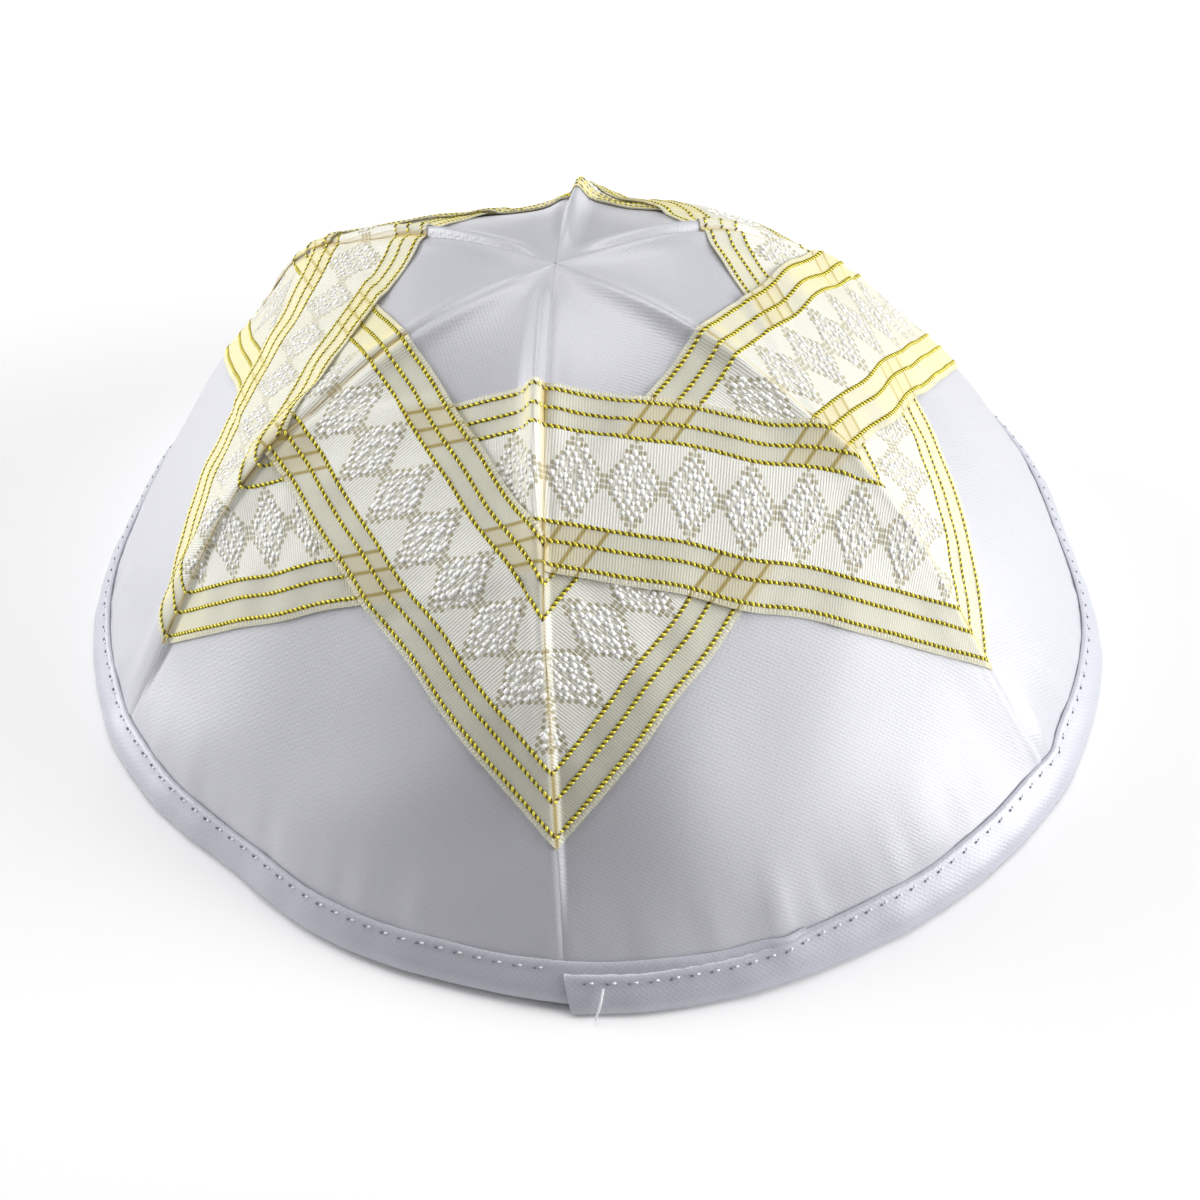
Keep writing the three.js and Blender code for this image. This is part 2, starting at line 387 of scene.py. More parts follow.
        hem = smoothstep(*self.hem_start, share)
        free = 1 - smoothstep(*self.tuck_start, share)
        gathers = self.gather_height * hem * free * ripple(across, self.gather_waves, GATHER_SEED + panel)
        dimples = ripple(across + 0.5 * arc, self.dimple_waves_across, DIMPLE_ACROSS_SEED + panel)
        dimples = self.dimple_height * dimples
        dimples = dimples * ripple(arc, self.dimple_waves_down, DIMPLE_DOWN_SEED + panel)
        inside = smoothstep(0.0, 6.0, near_left) * smoothstep(0.0, 6.0, near_right)
        soft = (gathers + dimples * free) * inside * smoothstep(0.05, 0.3, share)
        return fade * (roll - valley) * (self.tucked_relief + (1 - self.tucked_relief) * free) + soft


class FlatPattern:
    """One panel laid flat: x across it, y down it. Ribbons run straight on this pattern."""

    def __init__(self, wall: Wall, rows: int = 240) -> None:
        """Measure the panel's width, seam and middle at even shares.

        Args:
            wall: The satin wall.
            rows: Number of shares.
        """
        self.shares = np.linspace(0.0, 1.0, rows)
        self.widths = wall.half_width(self.shares)
        seam_steps = np.linalg.norm(np.diff(wall.seam.at(self.shares), axis=0), axis=1)
        middle_steps = np.linalg.norm(np.diff(wall.middle.at(self.shares), axis=0), axis=1)
        down = np.sqrt(np.maximum(seam_steps ** 2 - np.diff(self.widths) ** 2, 0.0))
        self.seam_y = np.concatenate([[0.0], np.cumsum(down)])
        self.middle_y = np.concatenate([[0.0], np.cumsum(middle_steps)])

    def width_at(self, share: np.ndarray) -> np.ndarray:
        """Return half the panel's width at each share."""
        return np.interp(share, self.shares, self.widths)

    def flatten(self, share: np.ndarray, side: np.ndarray) -> np.ndarray:
        """Return the flat place, in millimetres, of points of the panel."""
        middle = np.interp(share, self.shares, self.middle_y)
        seam = np.interp(share, self.shares, self.seam_y)
        return np.stack([self.width_at(share) * side, middle + (seam - middle) * side * side], -1)

    def fold(self, flat: np.ndarray) -> tuple[np.ndarray, np.ndarray]:
        """Find the share and side of flat places by halving the range of shares."""
        upper = np.zeros(flat.shape[:-1])
        lower = np.ones(flat.shape[:-1])
        for _ in range(BISECTIONS):
            share = (upper + lower) / 2
            side = flat[..., 0] / np.maximum(self.width_at(share), 1e-6)
            higher = self.flatten(share, side)[..., 1] < flat[..., 1]
            upper = np.where(higher, share, upper)
            lower = np.where(higher, lower, share)
        share = (upper + lower) / 2
        return share, flat[..., 0] / np.maximum(self.width_at(share), 1e-6)


WALL = Wall()
PATTERN = FlatPattern(WALL)


def closed_sheet(outer: np.ndarray, inner: np.ndarray) -> tuple[np.ndarray, list[tuple[int, ...]]]:
    """Join an outer and an inner grid of points into one closed sheet.

    Args:
        outer: Points of the outer face, indexed by row, column and axis.
        inner: Points of the inner face, laid out the same way.

    Returns:
        The vertices, in metres, and the faces, pointing outwards.
    """
    rows, columns = outer.shape[0], outer.shape[1]
    vertices = np.concatenate([outer.reshape(-1, 3), inner.reshape(-1, 3)]) * MM
    index = np.arange(rows * columns).reshape(rows, columns)
    back = index + rows * columns
    corners = (index[:-1, :-1], index[1:, :-1], index[1:, 1:], index[:-1, 1:])
    faces = np.stack(corners, -1).reshape(-1, 4)
    behind = faces[:, ::-1] + rows * columns
    left = np.stack([back[:-1, 0], back[1:, 0], index[1:, 0], index[:-1, 0]], -1)
    right = np.stack([index[:-1, -1], index[1:, -1], back[1:, -1], back[:-1, -1]], -1)
    top = np.stack([back[0, 1:], back[0, :-1], index[0, :-1], index[0, 1:]], -1)
    foot = np.stack([back[-1, :-1], back[-1, 1:], index[-1, 1:], index[-1, :-1]], -1)
    every = np.concatenate([faces, behind, left, right, top, foot])
    return vertices, [tuple(face) for face in every.tolist()]


def linked(name: str, data: bpy.types.ID) -> bpy.types.Object:
    """Make an object of some data and link it to the scene."""
    piece = bpy.data.objects.new(name, data)
    bpy.context.scene.collection.objects.link(piece)
    return piece


def make_piece(name: str, vertices: np.ndarray, faces: list[tuple[int, ...]],
               material: bpy.types.Material, flat: np.ndarray | None = None) -> bpy.types.Object:
    """Make one mesh object at the origin, with its cloth pattern as a UV map.

    Args:
        name: The piece's name.
        vertices: Points in metres.
        faces: Vertex numbers of each face.
        material: The piece's finish.
        flat: The flat cloth place of each vertex of one face, in millimetres. Both faces share it.

    Returns:
        The new object.
    """
    mesh = bpy.data.meshes.new(name)
    mesh.from_pydata(vertices.tolist(), [], faces)
    mesh.polygons.foreach_set("use_smooth", [True] * len(mesh.polygons))
    if flat is not None:
        layer = mesh.uv_layers.new(name="cloth")
        corners = np.zeros(len(mesh.loops), int)
        mesh.loops.foreach_get("vertex_index", corners)
        both = np.concatenate([flat, flat])
        layer.data.foreach_set("uv", (both[corners] / CLOTH_UNIT).ravel())
    mesh.materials.append(material)
    mesh.validate()
    mesh.set_sharp_from_angle(angle=SHARP_FOLD)
    return linked(name, mesh)


def seam_stops(count: int) -> np.ndarray:
    """Return stops from seam to seam, close together over the rolls at both ends.

    Args:
        count: Number of even stops between the two rolls.

    Returns:
        Pairs of a share of the way across and the millimetres in from that end's seam.
    """
    close = np.array([0.0, 0.15, 0.3, 0.5, 0.75, 1.0, 1.3, 1.65, 2.05, 2.6, 3.4])
    middle = np.linspace(0.0, 1.0, count + 2)[1:-1]
    shares = np.concatenate([np.zeros(len(close)), middle, np.ones(len(close))])
    distances = np.concatenate([close, np.zeros(count), -close[::-1]])
    return np.stack([shares, distances], -1)


def spread(stops: np.ndarray, start: np.ndarray, end: np.ndarray) -> np.ndarray:
    """Place stops on lines that run from seam to seam.

    Args:
        stops: Output of seam_stops.
        start: Where each line starts.
        end: Where each line ends.

    Returns:
        Positions indexed by line and stop.
    """
    length = (end - start)[:, None]
    roll = np.minimum(1.0, length / SHORTEST_FULL_RUN)
    near = SEAM_ZONE * roll
    share, distance = stops[:, 0][None, :], stops[:, 1][None, :]
    inner = start[:, None] + near + (length - 2 * near) * share
    edge = np.where(share > 0.5, end[:, None], start[:, None]) + distance * roll
    at_edge = (share == 0.0) | (share == 1.0)
    return np.where(at_edge, edge, inner)


def rows_of_marks(lines: np.ndarray, starts: np.ndarray, ends: np.ndarray,
                  step: float) -> tuple[np.ndarray, np.ndarray]:
    """Place marks at even steps on lines that run along a ribbon.

    Args:
        lines: Each line's distance from the crown-side edge.
        starts: Where each line's marks start.
        ends: Where they end.
        step: Millimetres from one mark to the next.

    Returns:
        The places along and across.
    """
    along = [np.arange(low, high, step) for low, high in zip(starts, ends)]
    across = np.repeat(lines, [len(places) for places in along])
    return np.concatenate(along), across


class NodeTree:
    """A small helper that adds nodes to a tree and wires them by socket name."""

    def __init__(self, tree: bpy.types.NodeTree) -> None:
        """Keep the tree."""
        self.tree = tree

    def add(self, kind: str, inputs: dict | None = None, **settings: object) -> bpy.types.Node:
        """Add a node.

        Args:
            kind: The node's type name.
            inputs: Socket name or number to a value or an output socket.
            settings: The node's own properties.

        Returns:
            The node.
        """
        node = self.tree.nodes.new(kind)
        for key, value in settings.items():
            setattr(node, key, value)
        for key, value in (inputs or {}).items():
            self.feed(node.inputs[key], value)
        return node

    def feed(self, socket: bpy.types.NodeSocket, value: object) -> None:
        """Link an output socket to an input, or set the input's value."""
        if isinstance(value, bpy.types.NodeSocket):
            self.tree.links.new(value, socket)
        else:
            socket.default_value = value

    def math(self, operation: str, *values: object) -> bpy.types.NodeSocket:
        """Add a Math node and return its output."""
        node = self.add("ShaderNodeMath", dict(enumerate(values)), operation=operation)
        return node.outputs[0]

    def mix(self, factor: object, a: object, b: object) -> bpy.types.NodeSocket:
        """Mix two colours and return the colour output."""
        node = self.add("ShaderNodeMix", data_type="RGBA")
        for name, value in (("Factor_Float", factor), ("A_Color", a), ("B_Color", b)):
            self.feed(next(s for s in node.inputs if s.identifier == name), value)
        return next(s for s in node.outputs if s.identifier == "Result_Color")

    def tint(self, colour: object, mask: object, share: float, other: object) -> bpy.types.NodeSocket:
        """Mix a share of another colour into a colour where a mask is 1."""
        return self.mix(self.math("MULTIPLY", mask, share), colour, other)

    def band(self, value: object, low: float, high: float, soft: float) -> bpy.types.NodeSocket:
        """Return a mask that is 1 between low and high, with soft ends."""
        rise = self.add("ShaderNodeMapRange", {0: value, 1: low - soft, 2: low + soft},
                        interpolation_type="SMOOTHSTEP").outputs[0]
        fall = self.add("ShaderNodeMapRange", {0: value, 1: high + soft, 2: high - soft},
                        interpolation_type="SMOOTHSTEP").outputs[0]
        return self.math("MULTIPLY", rise, fall)


def cloth_lines_group() -> bpy.types.NodeTree:
    """Build the shared effect of fine woven lines across a cloth.

    Returns:
        A group with the inputs Angle, Pitch and Wander, and the outputs Lines, Mottle and Grain.
    """
    found = bpy.data.node_groups.get("Woven lines")
    if found:
        return found
    tree = bpy.data.node_groups.new("Woven lines", "ShaderNodeTree")
    for name, value in (("Angle", 0.0), ("Pitch", 0.6), ("Wander", 0.1)):
        tree.interface.new_socket(name, in_out="INPUT", socket_type="NodeSocketFloat").default_value = value
    for name in ("Lines", "Mottle", "Grain"):
        tree.interface.new_socket(name, in_out="OUTPUT", socket_type="NodeSocketFloat")
    nodes = NodeTree(tree)
    given = nodes.add("NodeGroupInput").outputs
    uv = nodes.add("ShaderNodeUVMap", uv_map="cloth").outputs[0]
    place = nodes.add("ShaderNodeVectorMath", {0: uv, 1: (CLOTH_UNIT, CLOTH_UNIT, 0.0)},
                      operation="MULTIPLY").outputs[0]
    noise = nodes.add("ShaderNodeTexNoise", {"Vector": place, "Scale": 0.8, "Detail": 3.0})
    parts = nodes.add("ShaderNodeSeparateXYZ", {0: place}).outputs
    along = nodes.math("MULTIPLY", parts[0], nodes.math("COSINE", given["Angle"]))
    across = nodes.math("MULTIPLY", parts[1], nodes.math("SINE", given["Angle"]))
    wander = nodes.math("MULTIPLY", noise.outputs[0], given["Wander"])
    where = nodes.math("ADD", nodes.math("ADD", along, across), wander)
    turn = nodes.math("MULTIPLY", nodes.math("DIVIDE", where, given["Pitch"]), math.tau)
    lines = nodes.math("MULTIPLY_ADD", nodes.math("SINE", turn), 0.5, 0.5)
    out = nodes.add("NodeGroupOutput")
    nodes.feed(out.inputs["Lines"], lines)
    nodes.feed(out.inputs["Mottle"], noise.outputs[0])
    fine = nodes.add("ShaderNodeTexNoise", {"Vector": place, "Scale": 2.6, "Detail": 1.0}).outputs[0]
    grain = nodes.add("ShaderNodeMapRange", {0: fine, 1: 0.35, 2: 0.65}).outputs[0]
    nodes.feed(out.inputs["Grain"], grain)
    return tree


def place_lines(nodes: NodeTree, angle: float, pitch: float, wander: float) -> bpy.types.NodeSocket:
    """Place the woven lines group with its values and return its outputs."""
    values = {"Angle": angle, "Pitch": pitch, "Wander": wander}
    node = nodes.add("ShaderNodeGroup", node_tree=cloth_lines_group())
    for name, value in values.items():
        node.inputs[name].default_value = value
    return node.outputs


def new_material(name: str, roughness: float,
                 **constants: float) -> tuple[bpy.types.Material, NodeTree, bpy.types.Node]:
    """Start a material with one Principled shader.

    Args:
        name: The material's name.
        roughness: The shader's roughness.
        constants: More shader sockets, with underscores for spaces.

    Returns:
        The material, its tree and the shader.
    """
    material = bpy.data.materials.new(name)
    material.use_nodes = True
    nodes = NodeTree(material.node_tree)
    shader = material.node_tree.nodes["Principled BSDF"]
    shader.inputs["Roughness"].default_value = roughness
    for key, value in constants.items():
        shader.inputs[key.replace("_", " ")].default_value = value
    return material, nodes, shader


@dataclass(frozen=True)
class SatinFinish:
    """White satin with a fine diagonal twill."""

    name: str = "satin_white"
    # A lit and a shaded satin colour; the twill mixes them as painted shade in its grooves.
    light: Colour = (0.595, 0.6, 0.645, 1.0)
    shade: Colour = (0.525, 0.528, 0.572, 1.0)
    twill_angle: float = math.radians(-48)
    twill_pitch: float = 0.58
    roughness: float = 0.36

    def material(self) -> bpy.types.Material:
        """Build the material."""
        material, nodes, shader = new_material(
            self.name, self.roughness, Specular_IOR_Level=0.95, Anisotropic=0.7,
            Sheen_Weight=0.1, Sheen_Roughness=0.4)
        grain = nodes.add("ShaderNodeTangent", direction_type="UV_MAP", uv_map="cloth").outputs[0]
        nodes.feed(shader.inputs["Tangent"], grain)
        lines = place_lines(nodes, self.twill_angle, self.twill_pitch, 0.35)
        warp = place_lines(nodes, self.twill_angle + math.radians(97), self.twill_pitch * 1.3, 0.5)
        weave = nodes.math("MULTIPLY_ADD", warp["Lines"], 0.25, nodes.math("MULTIPLY", lines["Lines"], 0.4))
        weave = nodes.math("MULTIPLY_ADD", lines["Grain"], 0.35, weave)
        # The twill lines mix the lit and the shaded satin colour: painted shade in the twill's grooves,
        # beside the real bump.
        colour = nodes.mix(weave, self.shade, self.light)
        mottled = nodes.tint(colour, lines["Mottle"], 0.3, self.shade)
        nodes.feed(shader.inputs["Base Color"], mottled)
        bump = nodes.add("ShaderNodeBump", {"Strength": 0.22, "Distance": 0.00012, "Height": weave})
        nodes.feed(shader.inputs["Normal"], bump.outputs[0])
        return material


@dataclass(frozen=True)
class BrocadeFinish:
    """The ribbon's ground: sheer borders beside a denser ribbed band."""

    name: str = "brocade_ground"
    border: Colour = (0.99, 0.965, 0.79, 1.0)
    rib: Colour = (0.92, 0.92, 0.88, 1.0)
    ground: Colour = (0.77, 0.76, 0.68, 1.0)
    inside: Colour = (0.7, 0.685, 0.59, 1.0)
    outline: Colour = (0.4, 0.355, 0.225, 1.0)
    rib_pitch: float = 0.44
    border_alpha: float = 0.56
    gold_half_width: float = 0.28
    gold_seen_through: Colour = (0.5, 0.37, 0.03, 1.0)
    ribbon_seen_through: Colour = (0.94, 0.84, 0.55, 1.0)
    # Seen aslant, the borders turn yellower and darker, and the ribbed band takes a painted shade of its
    # ribs.
    aslant: Colour = (0.88, 0.79, 0.34, 1.0)
    rib_shade_aslant: Colour = (0.66, 0.63, 0.46, 1.0)
    # Amber along the seams: gold threads squeezed into the seam, and painted shade and reflection in its
    # crease.
    seam_gold_and_shade: Colour = (0.66, 0.47, 0.08, 1.0)
    motif_cells_long: float = 6.5
    motif_cells_wide: float = 8.2

    def motif_masks(self, nodes: NodeTree, uv: bpy.types.NodeSocket,
                    layout: "RibbonLayout") -> tuple[bpy.types.NodeSocket, bpy.types.NodeSocket]:
        """Mark the inside and the dotted outline of the woven medallions.

        Args:
            nodes: The material's tree.
            uv: The cloth coordinates.
            layout: The ribbon's layout.

        Returns:
            The masks of the inside and of the dark flecks in it and around it.
        """
        parts = nodes.add("ShaderNodeSeparateXYZ", {0: uv}).outputs
        start = layout.motif_pitch / 2 - layout.run_length / 2
        along = nodes.math("MULTIPLY_ADD", parts[0], CLOTH_UNIT, start)
        repeat = nodes.math("FLOORED_MODULO", along, layout.motif_pitch)
        places = (nodes.math("SUBTRACT", repeat, layout.motif_pitch / 2),
                  nodes.math("MULTIPLY_ADD", parts[1], CLOTH_UNIT, -layout.middle))
        far, apart, count = 0.0, 0.0, 0.0
        sizes = ((layout.cell_along, self.motif_cells_long), (layout.cell_across, self.motif_cells_wide))
        for place, (cell, reach) in zip(places, sizes):
            cells = nodes.math("DIVIDE", place, cell)
            whole = nodes.math("ROUND", cells, 0.0)
            count = nodes.math("ADD", count, whole)
            far = nodes.math("MULTIPLY_ADD", nodes.math("ABSOLUTE", whole), 1.0 / reach, far)
            beside = nodes.math("SUBTRACT", cells, whole)
            apart = nodes.math("MULTIPLY_ADD", beside, beside, apart)
        dots = nodes.band(apart, -1.0, 0.2, 0.08)
        ring = nodes.math("MULTIPLY", nodes.band(far, 0.88, 1.06, 0.02), 0.9)
        inside = nodes.band(far, -1.0, 0.9, 0.06)
        odd = nodes.math("MULTIPLY", nodes.math("FLOORED_MODULO", count, 2.0), 0.5)
        flecks = nodes.math("MULTIPLY_ADD", inside, odd, ring)
        return inside, nodes.math("MULTIPLY", flecks, dots)

    def seen_through(self, nodes: NodeTree, uv: bpy.types.NodeSocket, sheer: bpy.types.NodeSocket,
                     layout: "RibbonLayout", beneath: tuple[float, float, float]) -> bpy.types.NodeSocket:
        """Tint the sheer border where the lower ribbon and its gold lines show through.

        Args:
            nodes: The material's tree.
            uv: The cloth coordinates.
            sheer: The border's own colour.
            layout: The ribbon's layout.
            beneath: How the place across the lower ribbon grows along and across this one, and its start.

        Returns:
            The tinted colour.
        """
        parts = nodes.add("ShaderNodeSeparateXYZ", {0: uv}).outputs
        lower = nodes.math("MULTIPLY_ADD", parts[0], CLOTH_UNIT * beneath[0], beneath[2])
        lower = nodes.math("MULTIPLY_ADD", parts[1], CLOTH_UNIT * beneath[1], lower)
        edges = (0.0, layout.gold_lines[2], layout.gold_lines[3], layout.width)
        borders = nodes.math("ADD", nodes.band(lower, *edges[:2], 0.12), nodes.band(lower, *edges[2:], 0.12))
        tinted = nodes.tint(sheer, borders, 0.55, self.ribbon_seen_through)
        for line in layout.gold_lines:
            crossing = nodes.band(lower, line - self.gold_half_width, line + self.gold_half_width, 0.16)
            tinted = nodes.tint(tinted, crossing, 0.8, self.gold_seen_through)
        return tinted

    def material(self, layout: "RibbonLayout",
                 beneath: tuple[float, float, float] | None = None) -> bpy.types.Material:
        """Build the material.

        Args:
            layout: Where the ribbon's gold lines run.
            beneath: For a ribbon that passes over another, where the other lies below it.

        Returns:
            The material.
        """
        material, nodes, shader = new_material(self.name, 0.55, Specular_IOR_Level=0.35, Sheen_Weight=0.2)
        uv = nodes.add("ShaderNodeUVMap", uv_map="cloth").outputs[0]
        parts = nodes.add("ShaderNodeSeparateXYZ", {0: uv}).outputs
        across = nodes.math("MULTIPLY", parts[1], CLOTH_UNIT)
        band = nodes.band(across, layout.gold_lines[2], layout.gold_lines[3], 0.15)
        ribs = place_lines(nodes, 0.0, self.rib_pitch, 0.12)
        gauze = place_lines(nodes, math.radians(90), 0.34, 0.1)
        inside, ring = self.motif_masks(nodes, uv, layout)
        ribbed = nodes.mix(ribs["Lines"], self.ground, self.rib)
        ribbed = nodes.tint(ribbed, inside, 0.6, self.inside)
        ribbed = nodes.tint(ribbed, ribs["Grain"], 0.35, self.inside)
        ribbed = nodes.mix(ring, ribbed, self.outline)
        sheer = nodes.tint(self.border, gauze["Lines"], 0.35, self.rib)
        sheer = nodes.tint(sheer, gauze["Grain"], 0.2, self.ground)
        if beneath is not None:
            sheer = self.seen_through(nodes, uv, sheer, layout, beneath)
        # Where the cloth is seen aslant: the borders turn yellower and darker, and the ribbed band darkens
        # with painted shade between its ribs.
        facing = nodes.add("ShaderNodeLayerWeight", {"Blend": 0.5}).outputs["Facing"]
        slant = nodes.add("ShaderNodeMapRange", {0: facing, 1: 0.3, 2: 0.8},
                          interpolation_type="SMOOTHSTEP").outputs[0]
        sheer = nodes.tint(sheer, slant, 0.7, self.aslant)
        ribbed = nodes.tint(ribbed, slant, 0.6, self.rib_shade_aslant)
        # Near the seams the ground turns amber: partly the gold threads squeezed into the seam, partly
        # painted shade and reflection in the seam's crease.
        from_seam = nodes.add("ShaderNodeAttribute", attribute_name="seam_distance").outputs["Fac"]
        crease_shade = nodes.band(from_seam, -1.0, 0.4, 0.35)
        sheer = nodes.tint(sheer, crease_shade, 0.75, self.seam_gold_and_shade)
        ribbed = nodes.tint(ribbed, crease_shade, 0.35, self.seam_gold_and_shade)
        nodes.feed(shader.inputs["Base Color"], nodes.mix(band, sheer, ribbed))
        clear = nodes.math("MULTIPLY", nodes.math("SUBTRACT", 1.0, band), 1.0 - self.border_alpha)
        clear = nodes.math("MULTIPLY", clear, nodes.math("MULTIPLY_ADD", slant, -0.65, 1.0))
        nodes.feed(shader.inputs["Alpha"], nodes.math("SUBTRACT", 1.0, clear))
        bump = nodes.add("ShaderNodeBump", {"Strength": 0.4, "Distance": 0.00012, "Height": ribs["Lines"]})
        nodes.feed(shader.inputs["Normal"], bump.outputs[0])
        return material


@dataclass(frozen=True)
class ThreadFinish:
    """A lustrous thread of one colour, a little uneven along its length."""

    name: str
    colour: Colour
    shade: Colour
    roughness: float = 0.35
    metallic: float = 0.0

    def material(self) -> bpy.types.Material:
        """Build the material."""
        material, nodes, shader = new_material(self.name, self.roughness, Metallic=self.metallic)
        place = nodes.add("ShaderNodeTexCoord").outputs["Object"]
        noise = nodes.add("ShaderNodeTexNoise", {"Vector": place, "Scale": 2600.0, "Detail": 2.0})
        nodes.feed(shader.inputs["Base Color"], nodes.mix(noise.outputs[0], self.shade, self.colour))
        bump = nodes.add("ShaderNodeBump", {"Strength": 0.3, "Distance": 0.00008, "Height": noise.outputs[0]})
        nodes.feed(shader.inputs["Normal"], bump.outputs[0])
        return material


# The bright ply is gold's lit colour; the dark ply is painted shade and a painted dark reflection of the same
# metallic thread.
GOLD_BRIGHT = ThreadFinish("gold_thread_bright", (0.97, 0.88, 0.13, 1.0), (0.78, 0.67, 0.06, 1.0), 0.3, 0.55)
GOLD_SHADED_PLY = ThreadFinish("gold_thread_shaded_ply", (0.22, 0.16, 0.015, 1.0), (0.08, 0.056, 0.006, 1.0), 0.35, 0.6)
WHITE_FLOAT = ThreadFinish("white_float_thread", (0.98, 0.98, 0.97, 1.0), (0.9, 0.9, 0.87, 1.0), 0.28)
SEWING_THREAD = ThreadFinish("sewing_thread", (0.93, 0.93, 0.95, 1.0), (0.8, 0.8, 0.84, 1.0), 0.4)
# Dark marks between the stitches: painted shade in the needle holes, not a dark thread.
NEEDLE_HOLE_SHADE = ThreadFinish("needle_hole_shade", (0.27, 0.275, 0.3, 1.0), (0.17, 0.175, 0.2, 1.0), 0.8)
EDGE_COMB = ThreadFinish("edge_comb_thread", (0.88, 0.86, 0.68, 1.0), (0.76, 0.72, 0.48, 1.0), 0.35)


@dataclass
class ThreadMarks:
    """Many small rounded pieces of thread, set on points by one Geometry Nodes tree."""

    name: str
    material: bpy.types.Material
    centres: np.ndarray
    along: np.ndarray
    outward: np.ndarray
    length: float
    width: float
    height: float
    unevenness: float = 0.1
    seed: int = 7

    @staticmethod
    def tree() -> bpy.types.NodeTree:
        """Build the tree once.

        Returns:
            A tree with the inputs Length, Width, Height, Unevenness, Seed and Thread.
        """
        found = bpy.data.node_groups.get("Thread marks")
        if found:
            return found
        tree = bpy.data.node_groups.new("Thread marks", "GeometryNodeTree")
        sockets = tree.interface
        sockets.new_socket("Geometry", in_out="INPUT", socket_type="NodeSocketGeometry")
        for name in ("Length", "Width", "Height", "Unevenness"):
            sockets.new_socket(name, in_out="INPUT", socket_type="NodeSocketFloat")
        sockets.new_socket("Seed", in_out="INPUT", socket_type="NodeSocketInt")
        sockets.new_socket("Thread", in_out="INPUT", socket_type="NodeSocketMaterial")
        sockets.new_socket("Geometry", in_out="OUTPUT", socket_type="NodeSocketGeometry")
        nodes = NodeTree(tree)
        given = nodes.add("NodeGroupInput").outputs
        bead = nodes.add("GeometryNodeMeshIcoSphere", {"Radius": 0.5, "Subdivisions": 1}).outputs[0]
        along = nodes.add("GeometryNodeInputNamedAttribute", {"Name": "along"}, data_type="FLOAT_VECTOR")
        outward = nodes.add("GeometryNodeInputNamedAttribute", {"Name": "outward"}, data_type="FLOAT_VECTOR")
        turned = nodes.add("FunctionNodeAxesToRotation",
                           {0: outward.outputs[0], 1: along.outputs[0]},
                           primary_axis="Z", secondary_axis="X").outputs[0]
        uneven = nodes.add("FunctionNodeRandomValue", data_type="FLOAT")
        nodes.feed(uneven.inputs["Seed"], given["Seed"])
        low = nodes.math("SUBTRACT", 1.0, given["Unevenness"])
        high = nodes.math("ADD", 1.0, given["Unevenness"])
        floats = [socket for socket in uneven.inputs if socket.type == "VALUE"]
        nodes.feed(floats[0], low)
        nodes.feed(floats[1], high)
        factor = next(socket for socket in uneven.outputs if socket.type == "VALUE")
        size = nodes.add("ShaderNodeCombineXYZ", {0: given["Length"], 1: given["Width"], 2: given["Height"]})
        scale = nodes.add("ShaderNodeVectorMath", {0: size.outputs[0], "Scale": factor}, operation="SCALE")
        placed = nodes.add("GeometryNodeInstanceOnPoints",
                           {"Points": given["Geometry"], "Instance": bead, "Rotation": turned,
                            "Scale": scale.outputs[0]}).outputs[0]
        real = nodes.add("GeometryNodeRealizeInstances", {"Geometry": placed}).outputs[0]
        smooth = nodes.add("GeometryNodeSetShadeSmooth", {"Geometry": real}).outputs[0]
        dressed = nodes.add("GeometryNodeSetMaterial", {"Geometry": smooth, "Material": given["Thread"]})
        out = nodes.add("NodeGroupOutput")
        nodes.feed(out.inputs[0], dressed.outputs[0])
        return tree

    def build(self) -> bpy.types.Object:
        """Make the marks as one plain mesh object."""
        carrier = bpy.data.meshes.new(self.name + "_points")
        carrier.from_pydata((self.centres * MM).tolist(), [], [])
        for title, vectors in (("along", self.along), ("outward", self.outward)):
            layer = carrier.attributes.new(title, "FLOAT_VECTOR", "POINT")
            layer.data.foreach_set("vector", np.ascontiguousarray(vectors, dtype=np.float32).ravel())
        source = linked(self.name + "_points", carrier)
        modifier = source.modifiers.new("Marks", "NODES")
        modifier.node_group = self.tree()
        values = {"Length": self.length * MM, "Width": self.width * MM, "Height": self.height * MM,
                  "Unevenness": self.unevenness, "Seed": self.seed, "Thread": self.material}
        for item in modifier.node_group.interface.items_tree:
            if item.in_out == "INPUT" and item.name in values:
                modifier[item.identifier] = values[item.name]
        graph = bpy.context.evaluated_depsgraph_get()
        mesh = bpy.data.meshes.new_from_object(source.evaluated_get(graph), depsgraph=graph)
        mesh.name = self.name
        bpy.data.objects.remove(source)
        return linked(self.name, mesh)


@dataclass
class SatinPanel:
    """One of the six satin panels, from the apex to the hem inside the binding."""

    number: int
    finish: bpy.types.Material
    cloth: float = 0.45
    rows: int = 120
    middle_columns: int = 42
    hem_height: float = 1.4

    def build(self) -> bpy.types.Object:
        place = PLACES[self.number]
        last = float(WALL.seam.share_at_height(np.array(self.hem_height)))
        share = np.linspace(APEX_SHARE, last, self.rows)
        width = PATTERN.width_at(share)
        gap = np.minimum(SEAM_GAP, 0.3 * width)
        across = spread(seam_stops(self.middle_columns), gap - width, width - gap)
        side = across / width[:, None]
        shares = np.repeat(share[:, None], side.shape[1], 1)
        relief = WALL.relief(self.number, shares, side)
        outer = WALL.settle(WALL.bare(shares, side, relief), self.number)
        inner = WALL.settle(WALL.bare(shares, side, relief - self.cloth), self.number)
        vertices, faces = closed_sheet(outer, inner)
        flat = PATTERN.flatten(shares, side).reshape(-1, 2)
        piece = make_piece(f"satin_panel_{place}", vertices, faces, self.finish, flat)
        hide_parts(f"panel_{place}")
        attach(piece, "root")
        return piece


